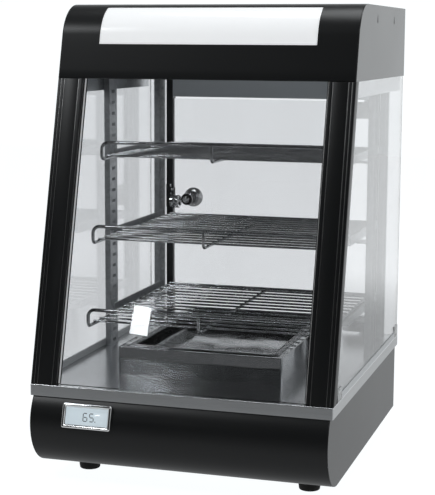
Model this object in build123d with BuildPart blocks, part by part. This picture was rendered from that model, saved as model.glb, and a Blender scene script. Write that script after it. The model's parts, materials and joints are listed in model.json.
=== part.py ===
from build123d import *
import os
from math import asin, cos, radians, sin, sqrt, tan

# Drink warmer cabinet: a black sheet-metal base, a glazed bay with a leaning front
# pane, three wire shelves and a curved canopy with a lit sign panel.
# Millimetres. X runs to the right as seen from the front, -Y is the front, +Z is up.
# The origin is the centre of the footprint, on the surface that the feet stand on.

# Overall sizes
canopy_width = 390.0
deck_overhang = 3.5
body_depth = 453.0
knob_reach = 42.0
foot_height = 20.0
base_height = 108.5
bay_height = 380.0
canopy_height = 95.0
lean_angle = 14.5

# Sheet metal and glass
sheet = 1.2
pane = 4.0
door_pane = 5.0
fit_gap = 0.3
shaft_gap = 0.05

# Base and deck
nose_radius = 58.0
deck_setback = 10.0
deck_lip = 14.5
deck_edge_radius = 1.8
vent_length = 40.0
vent_width = 4.0

# Feet
foot_top_radius = 15.0
foot_tip_radius = 13.0
foot_side_inset = 43.0
foot_front_inset = 93.0
foot_rear_inset = 45.0
foot_screw_radius = 2.0
foot_screw_head_radius = 4.2

# Thermometer in the front skin
gauge_width = 65.0
gauge_height = 31.0
gauge_side_inset = 77.0
gauge_drop = 34.5
gauge_frame = 4.6
gauge_proud = 5.0
gauge_bevel = 1.4
gauge_depth = 20.0

# Controls on the rear panel
control_height = 50.0
thermostat_x = -75.0
heat_switch_x = 0.0
light_switch_x = 45.0
gland_side_inset = 56.5
dial_radius = 19.0
dial_height = 15.0
stem_radius = 3.0
switch_width = 21.0
switch_height = 28.0
rocker_width = 13.0
rocker_height = 20.0
rocker_depth = 7.0
rocker_tilt = 10.0
cord_radius = 4.25
gland_wall = 4.0
gland_tail = 16.0
gland_thread = 14.0
gland_nut = 5.0

# Thermostat's bulb on the deck
bulb_radius = 3.0
bulb_length = 80.0
bulb_inset = 48.0
capillary_radius = 1.0

# Heater under the water pan
cover_width = 220.0
cover_length = 295.0
cover_height = 35.0
cover_rear_inset = 60.0
cover_flange = 15.0
pan_depth = 22.0
pan_rim = 10.0
pan_wall = 0.9
pan_gap = 2.0
element_radius = 3.5
element_width = 120.0
element_length = 230.0
element_drop = 25.0
element_bend = 9.0
element_turn = 30.0

# Pillars and panes
pillar_width = 34.0
pillar_depth = 16.5
pillar_setback = 2.0
groove_depth = 4.2
groove_gap = 0.12
channel_height = 8.0
channel_wall = 1.0
clip_length = 24.0
clip_height = 16.0
post_width = 10.0
post_depth = 14.0
post_wall = 1.2
post_side_inset = 44.5
top_rail_height = 35.0

# Door
door_gap = 1.5
door_lift = 3.0
hinge_inset = 9.5
hinge_pin_radius = 2.5
clamp_length = 38.0
clamp_height = 24.0
clamp_depth = 11.0
clamp_end_radius = 5.0
knob_radius = 15.0
knob_inset = 18.0
knob_height = 189.5
knob_flange_radius = 9.0
knob_neck_radius = 5.0
knob_washer_radius = 5.2
knob_screw_radius = 2.0
knob_screw_length = 13.0
strike_inset = 6.0
strike_radius = 5.0
strike_thickness = 0.5
magnet_radius = 10.0
magnet_length = 13.5
magnet_height = 187.5
magnet_plate = 1.5
magnet_plate_rise = 36.0

# Canopy
canopy_radius = 52.0
header_height = 44.0
sign_side_inset = 52.0
sign_rear_inset = 297.0
sign_thickness = 3.0
lamp_radius = 7.8
lamp_length = 280.0
lamp_holder_width = 20.0
lamp_holder_length = 12.0
driver_length = 126.0
driver_width = 32.0
driver_height = 24.0
driver_ear = 14.0
driver_x = 60.0
driver_inset = 70.0
slit_insets = (211.0, 90.0)
slit_level = 77.5
slit_width = 4.6
slit_height = 9.5
slit_slope = 80.0
lamp_height = 48.0
lamp_inset = 255.0
ceiling_lip = 20.0

# Shelves, as heights of the wires above the deck and lengths from the rear
shelf_heights = {"shelf_bottom": 62.5, "shelf_middle": 169.5, "shelf_top": 276.5}
shelf_lengths = {"shelf_bottom": 355.0, "shelf_middle": 336.0, "shelf_top": 303.0}
shelf_rear_inset = 12.0
shelf_side_gap = 14.0
rod_radius = 2.3
rod_bend = 6.0
rail_bend = 9.0
middle_rod_radius = 2.1
wire_radius = 1.2
wire_pitch = 22.0
wire_end = 3.0
weld_sink = 0.5
shelf_rail_rise = 19.0

# Slotted uprights and the rails hooked into them
upright_width = 28.0
upright_depth = 8.0
upright_wall = 1.2
front_upright_side = 15.0
front_upright_inset = 200.0
rear_upright_side = 30.0
rear_upright_inset = 36.0
slot_length = 12.0
slot_height = 4.4
slot_pitch = 15.3
rail_web = 11.0
rail_front_inset = 228.0
rail_rear_inset = 18.5

# Levels and planes that follow from the sizes. The gauge stands a little further
# forward than the round nose it sits on, and the knob is the rearmost point.
gauge_tilt = asin((base_height - gauge_drop - nose_radius) / nose_radius)
gauge_edge = gauge_height / 2 - gauge_bevel
gauge_reach = (nose_radius + gauge_proud) * cos(gauge_tilt) + gauge_edge * sin(gauge_tilt) - nose_radius
overall_depth = gauge_reach + body_depth + knob_reach
y_front = gauge_reach - overall_depth / 2
y_back = y_front + body_depth
z_base = foot_height
z_deck = z_base + base_height
z_bay_top = z_deck + bay_height
z_top = z_bay_top + canopy_height
lean = radians(lean_angle)
lean_run = bay_height * tan(lean)
half_canopy = canopy_width / 2
half_base = half_canopy - deck_overhang
gauge_x = gauge_side_inset - half_base
gland_x = half_base - gland_side_inset
foot_x = half_base - foot_side_inset
post_inner_x = half_canopy - post_side_inset
front_upright_x = half_canopy - front_upright_side
rear_upright_x = half_canopy - rear_upright_side
shelf_half_width = rear_upright_x - shelf_side_gap
sign_width = canopy_width - 2 * sign_side_inset
y_deck = y_front + deck_setback
deck_depth = y_back - y_deck
y_base_back = y_back - sheet - fit_gap
nose_y = y_front + nose_radius
nose_z = z_base + nose_radius
y_skin_top = y_deck + sheet + fit_gap
z_lip = z_deck - deck_lip
y_pillar = y_deck + pillar_setback
y_header = y_pillar + lean_run
z_under_deck = z_deck - sheet
x_inner_base = half_base - sheet
foot_points = [
    (x, y)
    for x in (-foot_x, foot_x)
    for y in (y_front + foot_front_inset, y_back - foot_rear_inset)
]
element_y = y_back - cover_rear_inset - 32.0
bulb_y = y_back - bulb_inset
element_z = z_deck + element_radius
glass_x = half_canopy - channel_wall - groove_gap - pane

os.makedirs("parts", exist_ok=True)


def nose_height(y, inset=0.0):
    """Height of the base's rounded front at a depth, on its upper half."""
    return nose_z + sqrt((nose_radius - inset) ** 2 - (nose_y - y) ** 2)


def draw_base_outline():
    """Side outline of the base: flat underside, round nose, step under the deck's lip."""
    with BuildLine() as outline:
        Polyline(
            (nose_y, z_base), (y_base_back, z_base), (y_base_back, z_under_deck),
            (y_skin_top, z_under_deck), (y_skin_top, nose_height(y_skin_top)),
        )
        ThreePointArc((y_skin_top, nose_height(y_skin_top)), (y_front, nose_z), (nose_y, z_base))
    make_face(outline.edges())


def draw_canopy_outline():
    """Side outline of the canopy: leaning header, round top edge, flat top and rear."""
    arc_centre_z = z_top - canopy_radius
    start_z = arc_centre_z + canopy_radius * sin(lean)
    start_y = y_header + (start_z - z_bay_top) * tan(lean)
    centre_y = start_y + canopy_radius * cos(lean)
    mid = radians(45 + lean_angle / 2)
    with BuildLine() as outline:
        Polyline((y_header, z_bay_top), (start_y, start_z))
        ThreePointArc(
            (start_y, start_z),
            (centre_y - canopy_radius * cos(mid), arc_centre_z + canopy_radius * sin(mid)),
            (centre_y, z_top),
        )
        Polyline((centre_y, z_top), (y_back, z_top), (y_back, z_bay_top), (y_header, z_bay_top))
    make_face(outline.edges())


# Front skin of the base, one bent sheet between the side panels, with the gauge's hole
gauge_normal = Vector(0, -cos(gauge_tilt), sin(gauge_tilt))
gauge_centre = Vector(gauge_x, nose_y, nose_z) + gauge_normal * nose_radius
gauge_plane = Plane(origin=gauge_centre, x_dir=(1, 0, 0), z_dir=gauge_normal)

with BuildPart() as base_front_skin:
    inner_top = y_skin_top + sheet
    with BuildSketch(Plane.YZ):
        with BuildLine():
            ThreePointArc((nose_y, z_base), (y_front, nose_z), (y_skin_top, nose_height(y_skin_top)))
            Polyline(
                (y_skin_top, nose_height(y_skin_top)), (y_skin_top, z_under_deck),
                (inner_top, z_under_deck), (inner_top, nose_height(inner_top, sheet)),
            )
            ThreePointArc(
                (inner_top, nose_height(inner_top, sheet)),
                (y_front + sheet, nose_z), (nose_y, z_base + sheet),
            )
            Line((nose_y, z_base + sheet), (nose_y, z_base))
        make_face()
    extrude(amount=x_inner_base, both=True)
    with BuildSketch(gauge_plane):
        Rectangle(gauge_width + 2 * groove_gap, gauge_height + 2 * groove_gap)
    extrude(amount=gauge_proud, both=True, mode=Mode.SUBTRACT)
base_front_skin.part.label = "base_front_skin"
export_step(base_front_skin.part, "parts/base_front_skin.step")

# Side panels of the base
for side, label in ((-1, "base_side_left"), (1, "base_side_right")):
    with BuildPart() as base_side:
        with BuildSketch(Plane.YZ.offset(side * (half_base - sheet / 2))):
            draw_base_outline()
        extrude(amount=sheet / 2, both=True)
    base_side.part.label = label
    export_step(base_side.part, f"parts/{label}.step")

# Bottom plate with its air slots and screw holes
with BuildPart() as base_bottom_plate:
    plate_length = y_base_back - sheet - nose_y
    plate_y = nose_y + plate_length / 2
    with BuildSketch(Plane.XY.offset(z_base)):
        with Locations((0, plate_y)):
            Rectangle(2 * x_inner_base, plate_length)
            with GridLocations(vent_length + 20, vent_width * 3, 3, 8):
                SlotOverall(vent_length, vent_width, mode=Mode.SUBTRACT)
        with Locations(*foot_points):
            Circle(foot_screw_radius + shaft_gap, mode=Mode.SUBTRACT)
    extrude(amount=sheet)
base_bottom_plate.part.label = "base_bottom_plate"
export_step(base_bottom_plate.part, "parts/base_bottom_plate.step")

# Rear panel of the base, with the openings for the controls and the cord gland
control_z = z_base + control_height
with BuildPart() as base_rear_panel:
    with BuildSketch(Plane.XZ.offset(-y_base_back)):
        with Locations((0, (z_base + z_under_deck) / 2)):
            Rectangle(2 * x_inner_base, z_under_deck - z_base)
        with Locations((heat_switch_x, control_z), (light_switch_x, control_z)):
            Rectangle(switch_width - 4, switch_height - 4, mode=Mode.SUBTRACT)
        with Locations((thermostat_x, control_z)):
            Circle(stem_radius + 2.5, mode=Mode.SUBTRACT)
        with Locations((gland_x, control_z)):
            Circle(cord_radius + gland_wall + shaft_gap, mode=Mode.SUBTRACT)
    extrude(amount=sheet)
base_rear_panel.part.label = "base_rear_panel"
export_step(base_rear_panel.part, "parts/base_rear_panel.step")

# Deck: a shallow upturned tray whose lip overhangs the base all round
deck_y = (y_deck + y_back) / 2
with BuildPart() as deck_plate:
    with BuildSketch(Plane.XY.offset(z_lip)):
        with Locations((0, deck_y)):
            Rectangle(canopy_width, deck_depth)
    extrude(amount=deck_lip)
    fillet(deck_plate.edges().filter_by(Axis.Z), deck_edge_radius)
    fillet(deck_plate.faces().sort_by(Axis.Z)[-1].edges(), deck_edge_radius / 2)
    with BuildSketch(Plane.XY.offset(z_lip)):
        with Locations((0, deck_y)):
            Rectangle(canopy_width - 2 * sheet, deck_depth - 2 * sheet)
    extrude(amount=deck_lip - sheet, mode=Mode.SUBTRACT)
    with BuildSketch(Plane.XY.offset(z_under_deck)):
        hole_y = element_y - element_bend / 3
        with Locations((-element_width / 2, hole_y), (element_width / 2, hole_y)):
            Circle(element_radius + element_bend / 3)
        with Locations((thermostat_x + 0.5, bulb_y)):
            Circle(bulb_radius + 0.5)
    extrude(amount=sheet, mode=Mode.SUBTRACT)
deck_plate.part.label = "deck_plate"
export_step(deck_plate.part, "parts/deck_plate.step")

# Rubber feet, screwed up through the bottom plate
recess_depth = 7.0
foot_taper = foot_height * 0.7
with BuildPart() as feet:
    with Locations(*foot_points):
        Cone(foot_tip_radius, foot_top_radius, foot_taper, align=(Align.CENTER, Align.CENTER, Align.MIN))
    with BuildSketch(Plane.XY.offset(foot_taper)):
        with Locations(*foot_points):
            Circle(foot_top_radius)
    extrude(amount=foot_height - foot_taper)
    fillet(feet.faces().sort_by(Axis.Z)[:len(foot_points)].edges(), 1.5)
    with BuildSketch(Plane.XY):
        with Locations(*foot_points):
            Circle(foot_screw_head_radius + 0.5)
    extrude(amount=recess_depth, mode=Mode.SUBTRACT)
    with BuildSketch(Plane.XY):
        with Locations(*foot_points):
            Circle(foot_screw_radius)
    extrude(amount=foot_height, mode=Mode.SUBTRACT)
feet.part.label = "feet"
export_step(feet.part, "parts/feet.step")

with BuildPart() as foot_screws:
    with BuildSketch(Plane.XY.offset(recess_depth - 3)):
        with Locations(*foot_points):
            Circle(foot_screw_head_radius)
    extrude(amount=3)
    with BuildSketch(Plane.XY.offset(recess_depth)):
        with Locations(*foot_points):
            Circle(foot_screw_radius)
    extrude(amount=foot_height - recess_depth + sheet + 6)
    with BuildSketch(Plane.XY.offset(foot_height + sheet)):
        with Locations(*foot_points):
            RegularPolygon(4.0, 6)
    extrude(amount=3.2)
foot_screws.part.label = "foot_screws"
export_step(foot_screws.part, "parts/foot_screws.step")

# Thermometer: frame, display and the body behind the skin
window_width = gauge_width - 2 * gauge_frame
window_height = gauge_height - 2 * gauge_frame
gauge_normal_axis = Axis(gauge_plane.origin, gauge_normal)
with BuildPart() as thermometer_bezel:
    with BuildSketch(gauge_plane.offset(-gauge_proud)):
        Rectangle(gauge_width, gauge_height)
    extrude(amount=2 * gauge_proud)
    fillet(thermometer_bezel.edges().filter_by(gauge_normal_axis), 2.0)
    chamfer(thermometer_bezel.faces().filter_by(gauge_normal_axis).sort_by(Axis.Y)[0].edges(), gauge_bevel)
    with BuildSketch(gauge_plane.offset(-gauge_proud)):
        Rectangle(window_width, window_height)
    extrude(amount=2 * gauge_proud, mode=Mode.SUBTRACT)
thermometer_bezel.part.label = "thermometer_bezel"
export_step(thermometer_bezel.part, "parts/thermometer_bezel.step")

with BuildPart() as thermometer_display:
    with BuildSketch(gauge_plane.offset(gauge_proud - 3.5)):
        Rectangle(window_width, window_height)
    extrude(amount=1.6)
thermometer_display.part.label = "thermometer_display"
export_step(thermometer_display.part, "parts/thermometer_display.step")

with BuildPart() as thermometer_body:
    with BuildSketch(gauge_plane.offset(gauge_proud - 3.5)):
        Rectangle(window_width, window_height)
    extrude(amount=-(gauge_depth + gauge_proud - 3.5))
    with BuildSketch(gauge_plane.offset(-gauge_proud)):
        Rectangle(gauge_width + 6, window_height - 6)
    extrude(amount=-2.5)
thermometer_body.part.label = "thermometer_body"
export_step(thermometer_body.part, "parts/thermometer_body.step")

# Thermostat behind the rear panel, its dial outside and its sensing bulb on the deck
rear_plane = Plane.XZ.offset(-y_base_back)
bush_length = 8.0
with BuildPart() as thermostat_body:
    with BuildSketch(rear_plane.offset(sheet)):
        with Locations((thermostat_x, control_z)):
            Rectangle(38, 34)
    extrude(amount=28)
    with BuildSketch(rear_plane.offset(sheet)):
        with Locations((thermostat_x, control_z)):
            Circle(stem_radius + shaft_gap)
    extrude(amount=bush_length + 1, mode=Mode.SUBTRACT)
thermostat_body.part.label = "thermostat_body"
export_step(thermostat_body.part, "parts/thermostat_body.step")

dial_plane = rear_plane.offset(-fit_gap - 2.0)
with BuildPart() as thermostat_knob:
    with BuildSketch(dial_plane):
        with Locations((thermostat_x, control_z)):
            Circle(dial_radius)
    extrude(amount=-4)
    with BuildSketch(dial_plane.offset(-4)):
        with Locations((thermostat_x, control_z)):
            Circle(dial_radius - 4)
    extrude(amount=-(dial_height - 4))
    chamfer(thermostat_knob.faces().sort_by(Axis.Y)[-1].edges(), 1.2)
    with BuildSketch(dial_plane.offset(-4)):
        with Locations((thermostat_x, control_z)):
            with PolarLocations(dial_radius - 4, 12):
                Circle(1.6)
    extrude(amount=-dial_height, mode=Mode.SUBTRACT)
    with BuildSketch(dial_plane.offset(-dial_height + 0.8)):
        with Locations((thermostat_x, control_z + (dial_radius - 4) / 2)):
            Rectangle(1.6, dial_radius - 6)
    extrude(amount=-2, mode=Mode.SUBTRACT)
    with BuildSketch(dial_plane):
        with Locations((thermostat_x, control_z)):
            Circle(stem_radius)
    extrude(amount=fit_gap + 2.0 + sheet + bush_length)
thermostat_knob.part.label = "thermostat_knob"
export_step(thermostat_knob.part, "parts/thermostat_knob.step")

with BuildPart() as thermostat_bulb:
    with BuildSketch(Plane.YZ.offset(-bulb_length / 2)):
        with Locations((bulb_y, z_deck + bulb_radius)):
            Circle(bulb_radius)
    extrude(amount=bulb_length)
    with BuildLine() as capillary_path:
        FilletPolyline(
            (1 - bulb_length / 2, bulb_y, z_deck + bulb_radius), (thermostat_x, bulb_y, z_deck + bulb_radius),
            (thermostat_x, bulb_y, control_z + 40),
            (thermostat_x, y_base_back - sheet - 14, control_z + 40),
            (thermostat_x, y_base_back - sheet - 14, control_z + 17),
            radius=5,
        )
    with BuildSketch(Plane(origin=(1 - bulb_length / 2, bulb_y, z_deck + bulb_radius), z_dir=(-1, 0, 0))):
        Circle(capillary_radius)
    sweep(path=capillary_path.wires()[0])
thermostat_bulb.part.label = "thermostat_bulb"
export_step(thermostat_bulb.part, "parts/thermostat_bulb.step")

# Rocker switches: a bezel outside the rear panel, a body inside, a rocker on two stub pins
pivot_y = y_base_back + 1.0
for switch_x, name in ((heat_switch_x, "heat_switch"), (light_switch_x, "light_switch")):
    with BuildPart() as switch_body:
        with BuildSketch(rear_plane.offset(-2)):
            with Locations((switch_x, control_z)):
                Rectangle(switch_width, switch_height)
        extrude(amount=2)
        with BuildSketch(rear_plane):
            with Locations((switch_x, control_z)):
                Rectangle(switch_width - 4, switch_height - 4)
        extrude(amount=22)
        with BuildSketch(rear_plane.offset(-2)):
            with Locations((switch_x, control_z)):
                Rectangle(rocker_width + 2 * fit_gap, rocker_height + 2.6)
        extrude(amount=12, mode=Mode.SUBTRACT)
        with BuildSketch(Plane.YZ.offset(switch_x - rocker_width / 2 - 1.5)):
            with Locations((pivot_y, control_z)):
                Circle(1.5 + shaft_gap)
        extrude(amount=rocker_width + 3, mode=Mode.SUBTRACT)
    switch_body.part.label = f"{name}_body"
    export_step(switch_body.part, f"parts/{name}_body.step")

    with BuildPart() as switch_rocker:
        half = rocker_height / 2
        rise = half * tan(radians(rocker_tilt))
        face = rocker_depth - 2
        with BuildSketch(Plane.YZ.offset(switch_x)):
            with Locations((pivot_y, control_z)):
                Polygon(
                    (-5, 2 - half), (face, -half), (face - rise / 2, 0), (face, half), (-5, half - 2),
                    rotation=rocker_tilt, align=None,
                )
        extrude(amount=rocker_width / 2, both=True)
        with BuildSketch(Plane.YZ.offset(switch_x)):
            with Locations((pivot_y, control_z)):
                Circle(1.5)
        extrude(amount=rocker_width / 2 + 1.3, both=True)
    switch_rocker.part.label = f"{name}_rocker"
    export_step(switch_rocker.part, f"parts/{name}_rocker.step")

# Cord gland: a bored, flanged bush through the rear panel with its nut inside
gland_plane = Plane(origin=(gland_x, y_base_back, control_z), z_dir=(0, 1, 0))
outward = (Align.CENTER, Align.CENTER, Align.MIN)
inward = (Align.CENTER, Align.CENTER, Align.MAX)
gland_radius = cord_radius + gland_wall
with BuildPart() as cord_gland:
    with Locations(gland_plane):
        Cylinder(gland_radius + 3, 4, align=outward)
        Cone(gland_radius + 1, gland_radius - 1.5, gland_tail, align=outward)
        Cylinder(gland_radius, gland_thread, align=inward)
    with BuildSketch(gland_plane.offset(-sheet - gland_nut)):
        RegularPolygon(gland_radius + 3, 6)
    extrude(amount=gland_nut)
    with Locations(gland_plane):
        Cylinder(cord_radius, 2 * (gland_tail + gland_thread), mode=Mode.SUBTRACT)
cord_gland.part.label = "cord_gland"
export_step(cord_gland.part, "parts/cord_gland.step")

# Terminal block on the bottom plate, where the cord's wires end
with BuildPart() as terminal_block:
    block_z = z_base + sheet
    with BuildSketch(Plane.XY.offset(block_z)):
        with Locations((gland_x - 25, y_back - 75)):
            Rectangle(22, 62)
    extrude(amount=16)
    with BuildSketch(Plane.XY.offset(block_z + 16)):
        with Locations((gland_x - 25, y_back - 75)):
            with GridLocations(12, 12, 2, 5):
                Circle(2.6)
    extrude(amount=-6, mode=Mode.SUBTRACT)
terminal_block.part.label = "terminal_block"
export_step(terminal_block.part, "parts/terminal_block.step")

# Polished cover over the heating element, open at its top for the water pan
cover_y = y_back - cover_rear_inset - cover_length / 2
cover_top = z_deck + cover_height
pan_width = cover_width - 2 * cover_flange - 2 * pan_gap
pan_length = cover_length - 2 * cover_flange - 2 * pan_gap
with BuildPart() as heater_cover:
    with BuildSketch(Plane.XY.offset(z_deck)):
        with Locations((0, cover_y)):
            Rectangle(cover_width, cover_length)
    extrude(amount=cover_height)
    fillet(heater_cover.edges().filter_by(Axis.Z), 3)
    fillet(heater_cover.faces().sort_by(Axis.Z)[-1].edges(), 0.9)
    with BuildSketch(Plane.XY.offset(z_deck)):
        with Locations((0, cover_y)):
            Rectangle(cover_width - 2 * sheet, cover_length - 2 * sheet)
    extrude(amount=cover_height - sheet, mode=Mode.SUBTRACT)
    with BuildSketch(Plane.XY.offset(cover_top - sheet)):
        with Locations((0, cover_y)):
            RectangleRounded(cover_width - 2 * cover_flange, cover_length - 2 * cover_flange, 8)
    extrude(amount=sheet, mode=Mode.SUBTRACT)
heater_cover.part.label = "heater_cover"
export_step(heater_cover.part, "parts/heater_cover.step")

# Tubular heating element: a U on the deck, its ends turned down through it
element_path_points = [
    (-element_width / 2, element_y, element_z - element_drop),
    (-element_width / 2, element_y, element_z),
    (-element_width / 2, element_y - element_length, element_z),
    (element_width / 2, element_y - element_length, element_z),
    (element_width / 2, element_y, element_z),
    (element_width / 2, element_y, element_z - element_drop),
]
with BuildPart() as heating_element:
    with BuildLine() as element_path:
        FilletPolyline(*element_path_points, radius=[element_bend, element_turn, element_turn, element_bend])
    with BuildSketch(Plane(origin=element_path_points[0], z_dir=(0, 0, 1))):
        Circle(element_radius)
    sweep(path=element_path.wires()[0])
heating_element.part.label = "heating_element"
export_step(heating_element.part, "parts/heating_element.step")

# Saddle clips that hold the element down on the deck
with BuildPart() as element_clips:
    clip_points = [
        (x, y)
        for x in (-element_width / 2, element_width / 2)
        for y in (element_y - 50, element_y - element_length + 60)
    ]
    with BuildSketch(Plane.XY.offset(z_deck)):
        with Locations(*clip_points):
            Rectangle(22, 10)
    extrude(amount=2 * element_radius + 1.2)
    with BuildSketch(Plane.XZ.offset(-y_back)):
        with Locations((-element_width / 2, element_z), (element_width / 2, element_z)):
            Circle(element_radius + shaft_gap)
    extrude(amount=body_depth, mode=Mode.SUBTRACT)
element_clips.part.label = "element_clips"
export_step(element_clips.part, "parts/element_clips.step")

# Water pan, hung by its rim in the cover's opening
rim_z = cover_top + fit_gap
with BuildPart() as water_pan:
    with BuildSketch(Plane.XY.offset(rim_z)):
        with Locations((0, cover_y)):
            RectangleRounded(pan_width + 2 * pan_rim, pan_length + 2 * pan_rim, 8)
    extrude(amount=pan_wall)
    with BuildSketch(Plane.XY.offset(rim_z + pan_wall)):
        with Locations((0, cover_y)):
            RectangleRounded(pan_width, pan_length, 7)
    extrude(amount=-pan_depth)
    with BuildSketch(Plane.XY.offset(rim_z + pan_wall)):
        with Locations((0, cover_y)):
            RectangleRounded(pan_width - 2 * pan_wall, pan_length - 2 * pan_wall, 6)
    extrude(amount=-(pan_depth - pan_wall), mode=Mode.SUBTRACT)
water_pan.part.label = "water_pan"
export_step(water_pan.part, "parts/water_pan.step")

# Front pillars: leaning extrusions with a groove for the front pane at their inner
# edge, a slot for the side pane at their back and two thin lines down their face
lean_way = Vector(0, sin(lean), cos(lean))
slant = bay_height / cos(lean)
pane_slant = pane / cos(lean)
front_groove_y = y_pillar + 5.0
pillar_inner_x = half_canopy - pillar_width
for side, label in ((-1, "front_pillar_left"), (1, "front_pillar_right")):
    with BuildPart() as front_pillar:
        with BuildSketch(Plane.XY.offset(z_deck)):
            with Locations((side * (half_canopy - pillar_width / 2), y_pillar + pillar_depth / 2)):
                Rectangle(pillar_width, pillar_depth)
            with Locations((side * pillar_inner_x, front_groove_y + pane_slant / 2)):
                Rectangle(2 * groove_depth, pane_slant + 2 * groove_gap, mode=Mode.SUBTRACT)
            with Locations((side * (glass_x + pane / 2), y_pillar + pillar_depth)):
                Rectangle(pane + 2 * groove_gap, 2 * (groove_depth + 1), mode=Mode.SUBTRACT)
            with Locations(
                (side * (pillar_inner_x + 5.5), y_pillar), (side * (half_canopy - 9.0), y_pillar),
                (side * (half_canopy - 4.5), y_pillar),
            ):
                Rectangle(1.0, 1.8, mode=Mode.SUBTRACT)
        extrude(amount=slant, dir=lean_way)
    front_pillar.part.label = label
    export_step(front_pillar.part, f"parts/{label}.step")

# Front pane, in the grooves of the pillars
with BuildPart() as front_glass:
    with BuildSketch(Plane.XY.offset(z_deck)):
        with Locations((0, front_groove_y + pane_slant / 2)):
            Rectangle(2 * (pillar_inner_x + groove_depth - fit_gap), pane_slant)
    extrude(amount=slant, dir=lean_way)
front_glass.part.label = "front_glass"
export_step(front_glass.part, "parts/front_glass.step")

# Side panes, their front edge parallel to the lean, and the channels they stand in
side_glass_front = y_pillar + pillar_depth - groove_depth
side_glass_back = y_back - 2.0
for side, label in ((-1, "side_glass_left"), (1, "side_glass_right")):
    with BuildPart() as side_glass:
        foot_run = channel_wall * tan(lean)
        with BuildSketch(Plane.YZ.offset(side * (glass_x + pane / 2))):
            with BuildLine():
                Polyline(
                    (side_glass_front + foot_run, z_deck + channel_wall),
                    (side_glass_back, z_deck + channel_wall), (side_glass_back, z_bay_top),
                    (side_glass_front + lean_run, z_bay_top), close=True,
                )
            make_face()
        extrude(amount=pane / 2, both=True)
    side_glass.part.label = label
    export_step(side_glass.part, f"parts/{label}.step")

clip_front = y_pillar + pillar_depth + 6.0
clip_back = y_back - 3.0
channel_front = clip_front + clip_length
channel_back = clip_back - clip_length
channel_width = pane + 2 * groove_gap + 2 * channel_wall
channel_x = half_canopy - channel_width / 2
with BuildPart() as glazing_channels:
    with BuildSketch(Plane.XY.offset(z_deck)):
        with Locations((channel_x, (channel_front + channel_back) / 2)):
            Rectangle(channel_width, channel_back - channel_front)
        mirror(about=Plane.YZ)
    extrude(amount=channel_height)
    with BuildSketch(Plane.XY.offset(z_deck + channel_wall)):
        with Locations((channel_x, (channel_front + channel_back) / 2)):
            Rectangle(pane + 2 * groove_gap, channel_back - channel_front)
        mirror(about=Plane.YZ)
    extrude(amount=channel_height, mode=Mode.SUBTRACT)
glazing_channels.part.label = "glazing_channels"
export_step(glazing_channels.part, "parts/glazing_channels.step")

# Clear corner clips at the ends of the channels, and their screws
clip_centres = (clip_front + clip_length / 2, clip_back - clip_length / 2)
screw_z = z_deck + clip_height - 4.5
with BuildPart() as glass_clips:
    with BuildSketch(Plane.XY.offset(z_deck)):
        with Locations(*[(channel_x, y) for y in clip_centres]):
            Rectangle(channel_width, clip_length)
        mirror(about=Plane.YZ)
    extrude(amount=clip_height)
    with BuildSketch(Plane.XY.offset(z_deck + channel_wall)):
        with Locations(*[(channel_x, y) for y in clip_centres]):
            Rectangle(pane + 2 * groove_gap, clip_length)
        mirror(about=Plane.YZ)
    extrude(amount=clip_height, mode=Mode.SUBTRACT)
glass_clips.part.label = "glass_clips"
export_step(glass_clips.part, "parts/glass_clips.step")

with BuildPart() as clip_screws:
    for side in (-1, 1):
        with BuildSketch(Plane.YZ.offset(side * (half_canopy - channel_width))):
            with Locations(*[(y, screw_z) for y in clip_centres]):
                Circle(3.2)
        extrude(amount=-side * 2.0)
clip_screws.part.label = "clip_screws"
export_step(clip_screws.part, "parts/clip_screws.step")

# Rear posts: square tubes either side of the door, with the top rail between them
post_y = y_back - 2.0 - post_depth / 2
for side, label in ((-1, "rear_post_left"), (1, "rear_post_right")):
    with BuildPart() as rear_post:
        with BuildSketch(Plane.XY.offset(z_deck)):
            with Locations((side * (post_inner_x + post_width / 2), post_y)):
                Rectangle(post_width, post_depth)
                Rectangle(post_width - 2 * post_wall, post_depth - 2 * post_wall, mode=Mode.SUBTRACT)
        extrude(amount=bay_height)
    rear_post.part.label = label
    export_step(rear_post.part, f"parts/{label}.step")

door_y = post_y
door_hinge_x = post_inner_x - hinge_inset
door_bottom = z_deck + door_lift
door_top = z_bay_top - top_rail_height - door_lift
with BuildPart() as rear_top_rail:
    with BuildSketch(Plane.XY.offset(z_bay_top - top_rail_height)):
        with Locations((0, post_y)):
            Rectangle(2 * post_inner_x, post_depth)
    extrude(amount=top_rail_height)
    with BuildSketch(Plane.XY.offset(z_bay_top - top_rail_height + post_wall)):
        with Locations((0, post_y)):
            Rectangle(2 * post_inner_x, post_depth - 2 * post_wall)
    extrude(amount=top_rail_height - 2 * post_wall, mode=Mode.SUBTRACT)
rear_top_rail.part.label = "rear_top_rail"
export_step(rear_top_rail.part, "parts/rear_top_rail.step")

# Narrow fixed panes that close the rear corners between the posts and the side panes
corner_edge = half_canopy - channel_width
corner_x = (post_inner_x + post_width + corner_edge) / 2
corner_width = corner_edge - post_inner_x - post_width
with BuildPart() as rear_corner_panes:
    with BuildSketch(Plane.XY.offset(z_deck)):
        with Locations((-corner_x, y_back - 2.0 - pane / 2), (corner_x, y_back - 2.0 - pane / 2)):
            Rectangle(corner_width, pane)
    extrude(amount=bay_height)
rear_corner_panes.part.label = "rear_corner_panes"
export_step(rear_corner_panes.part, "parts/rear_corner_panes.step")

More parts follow.
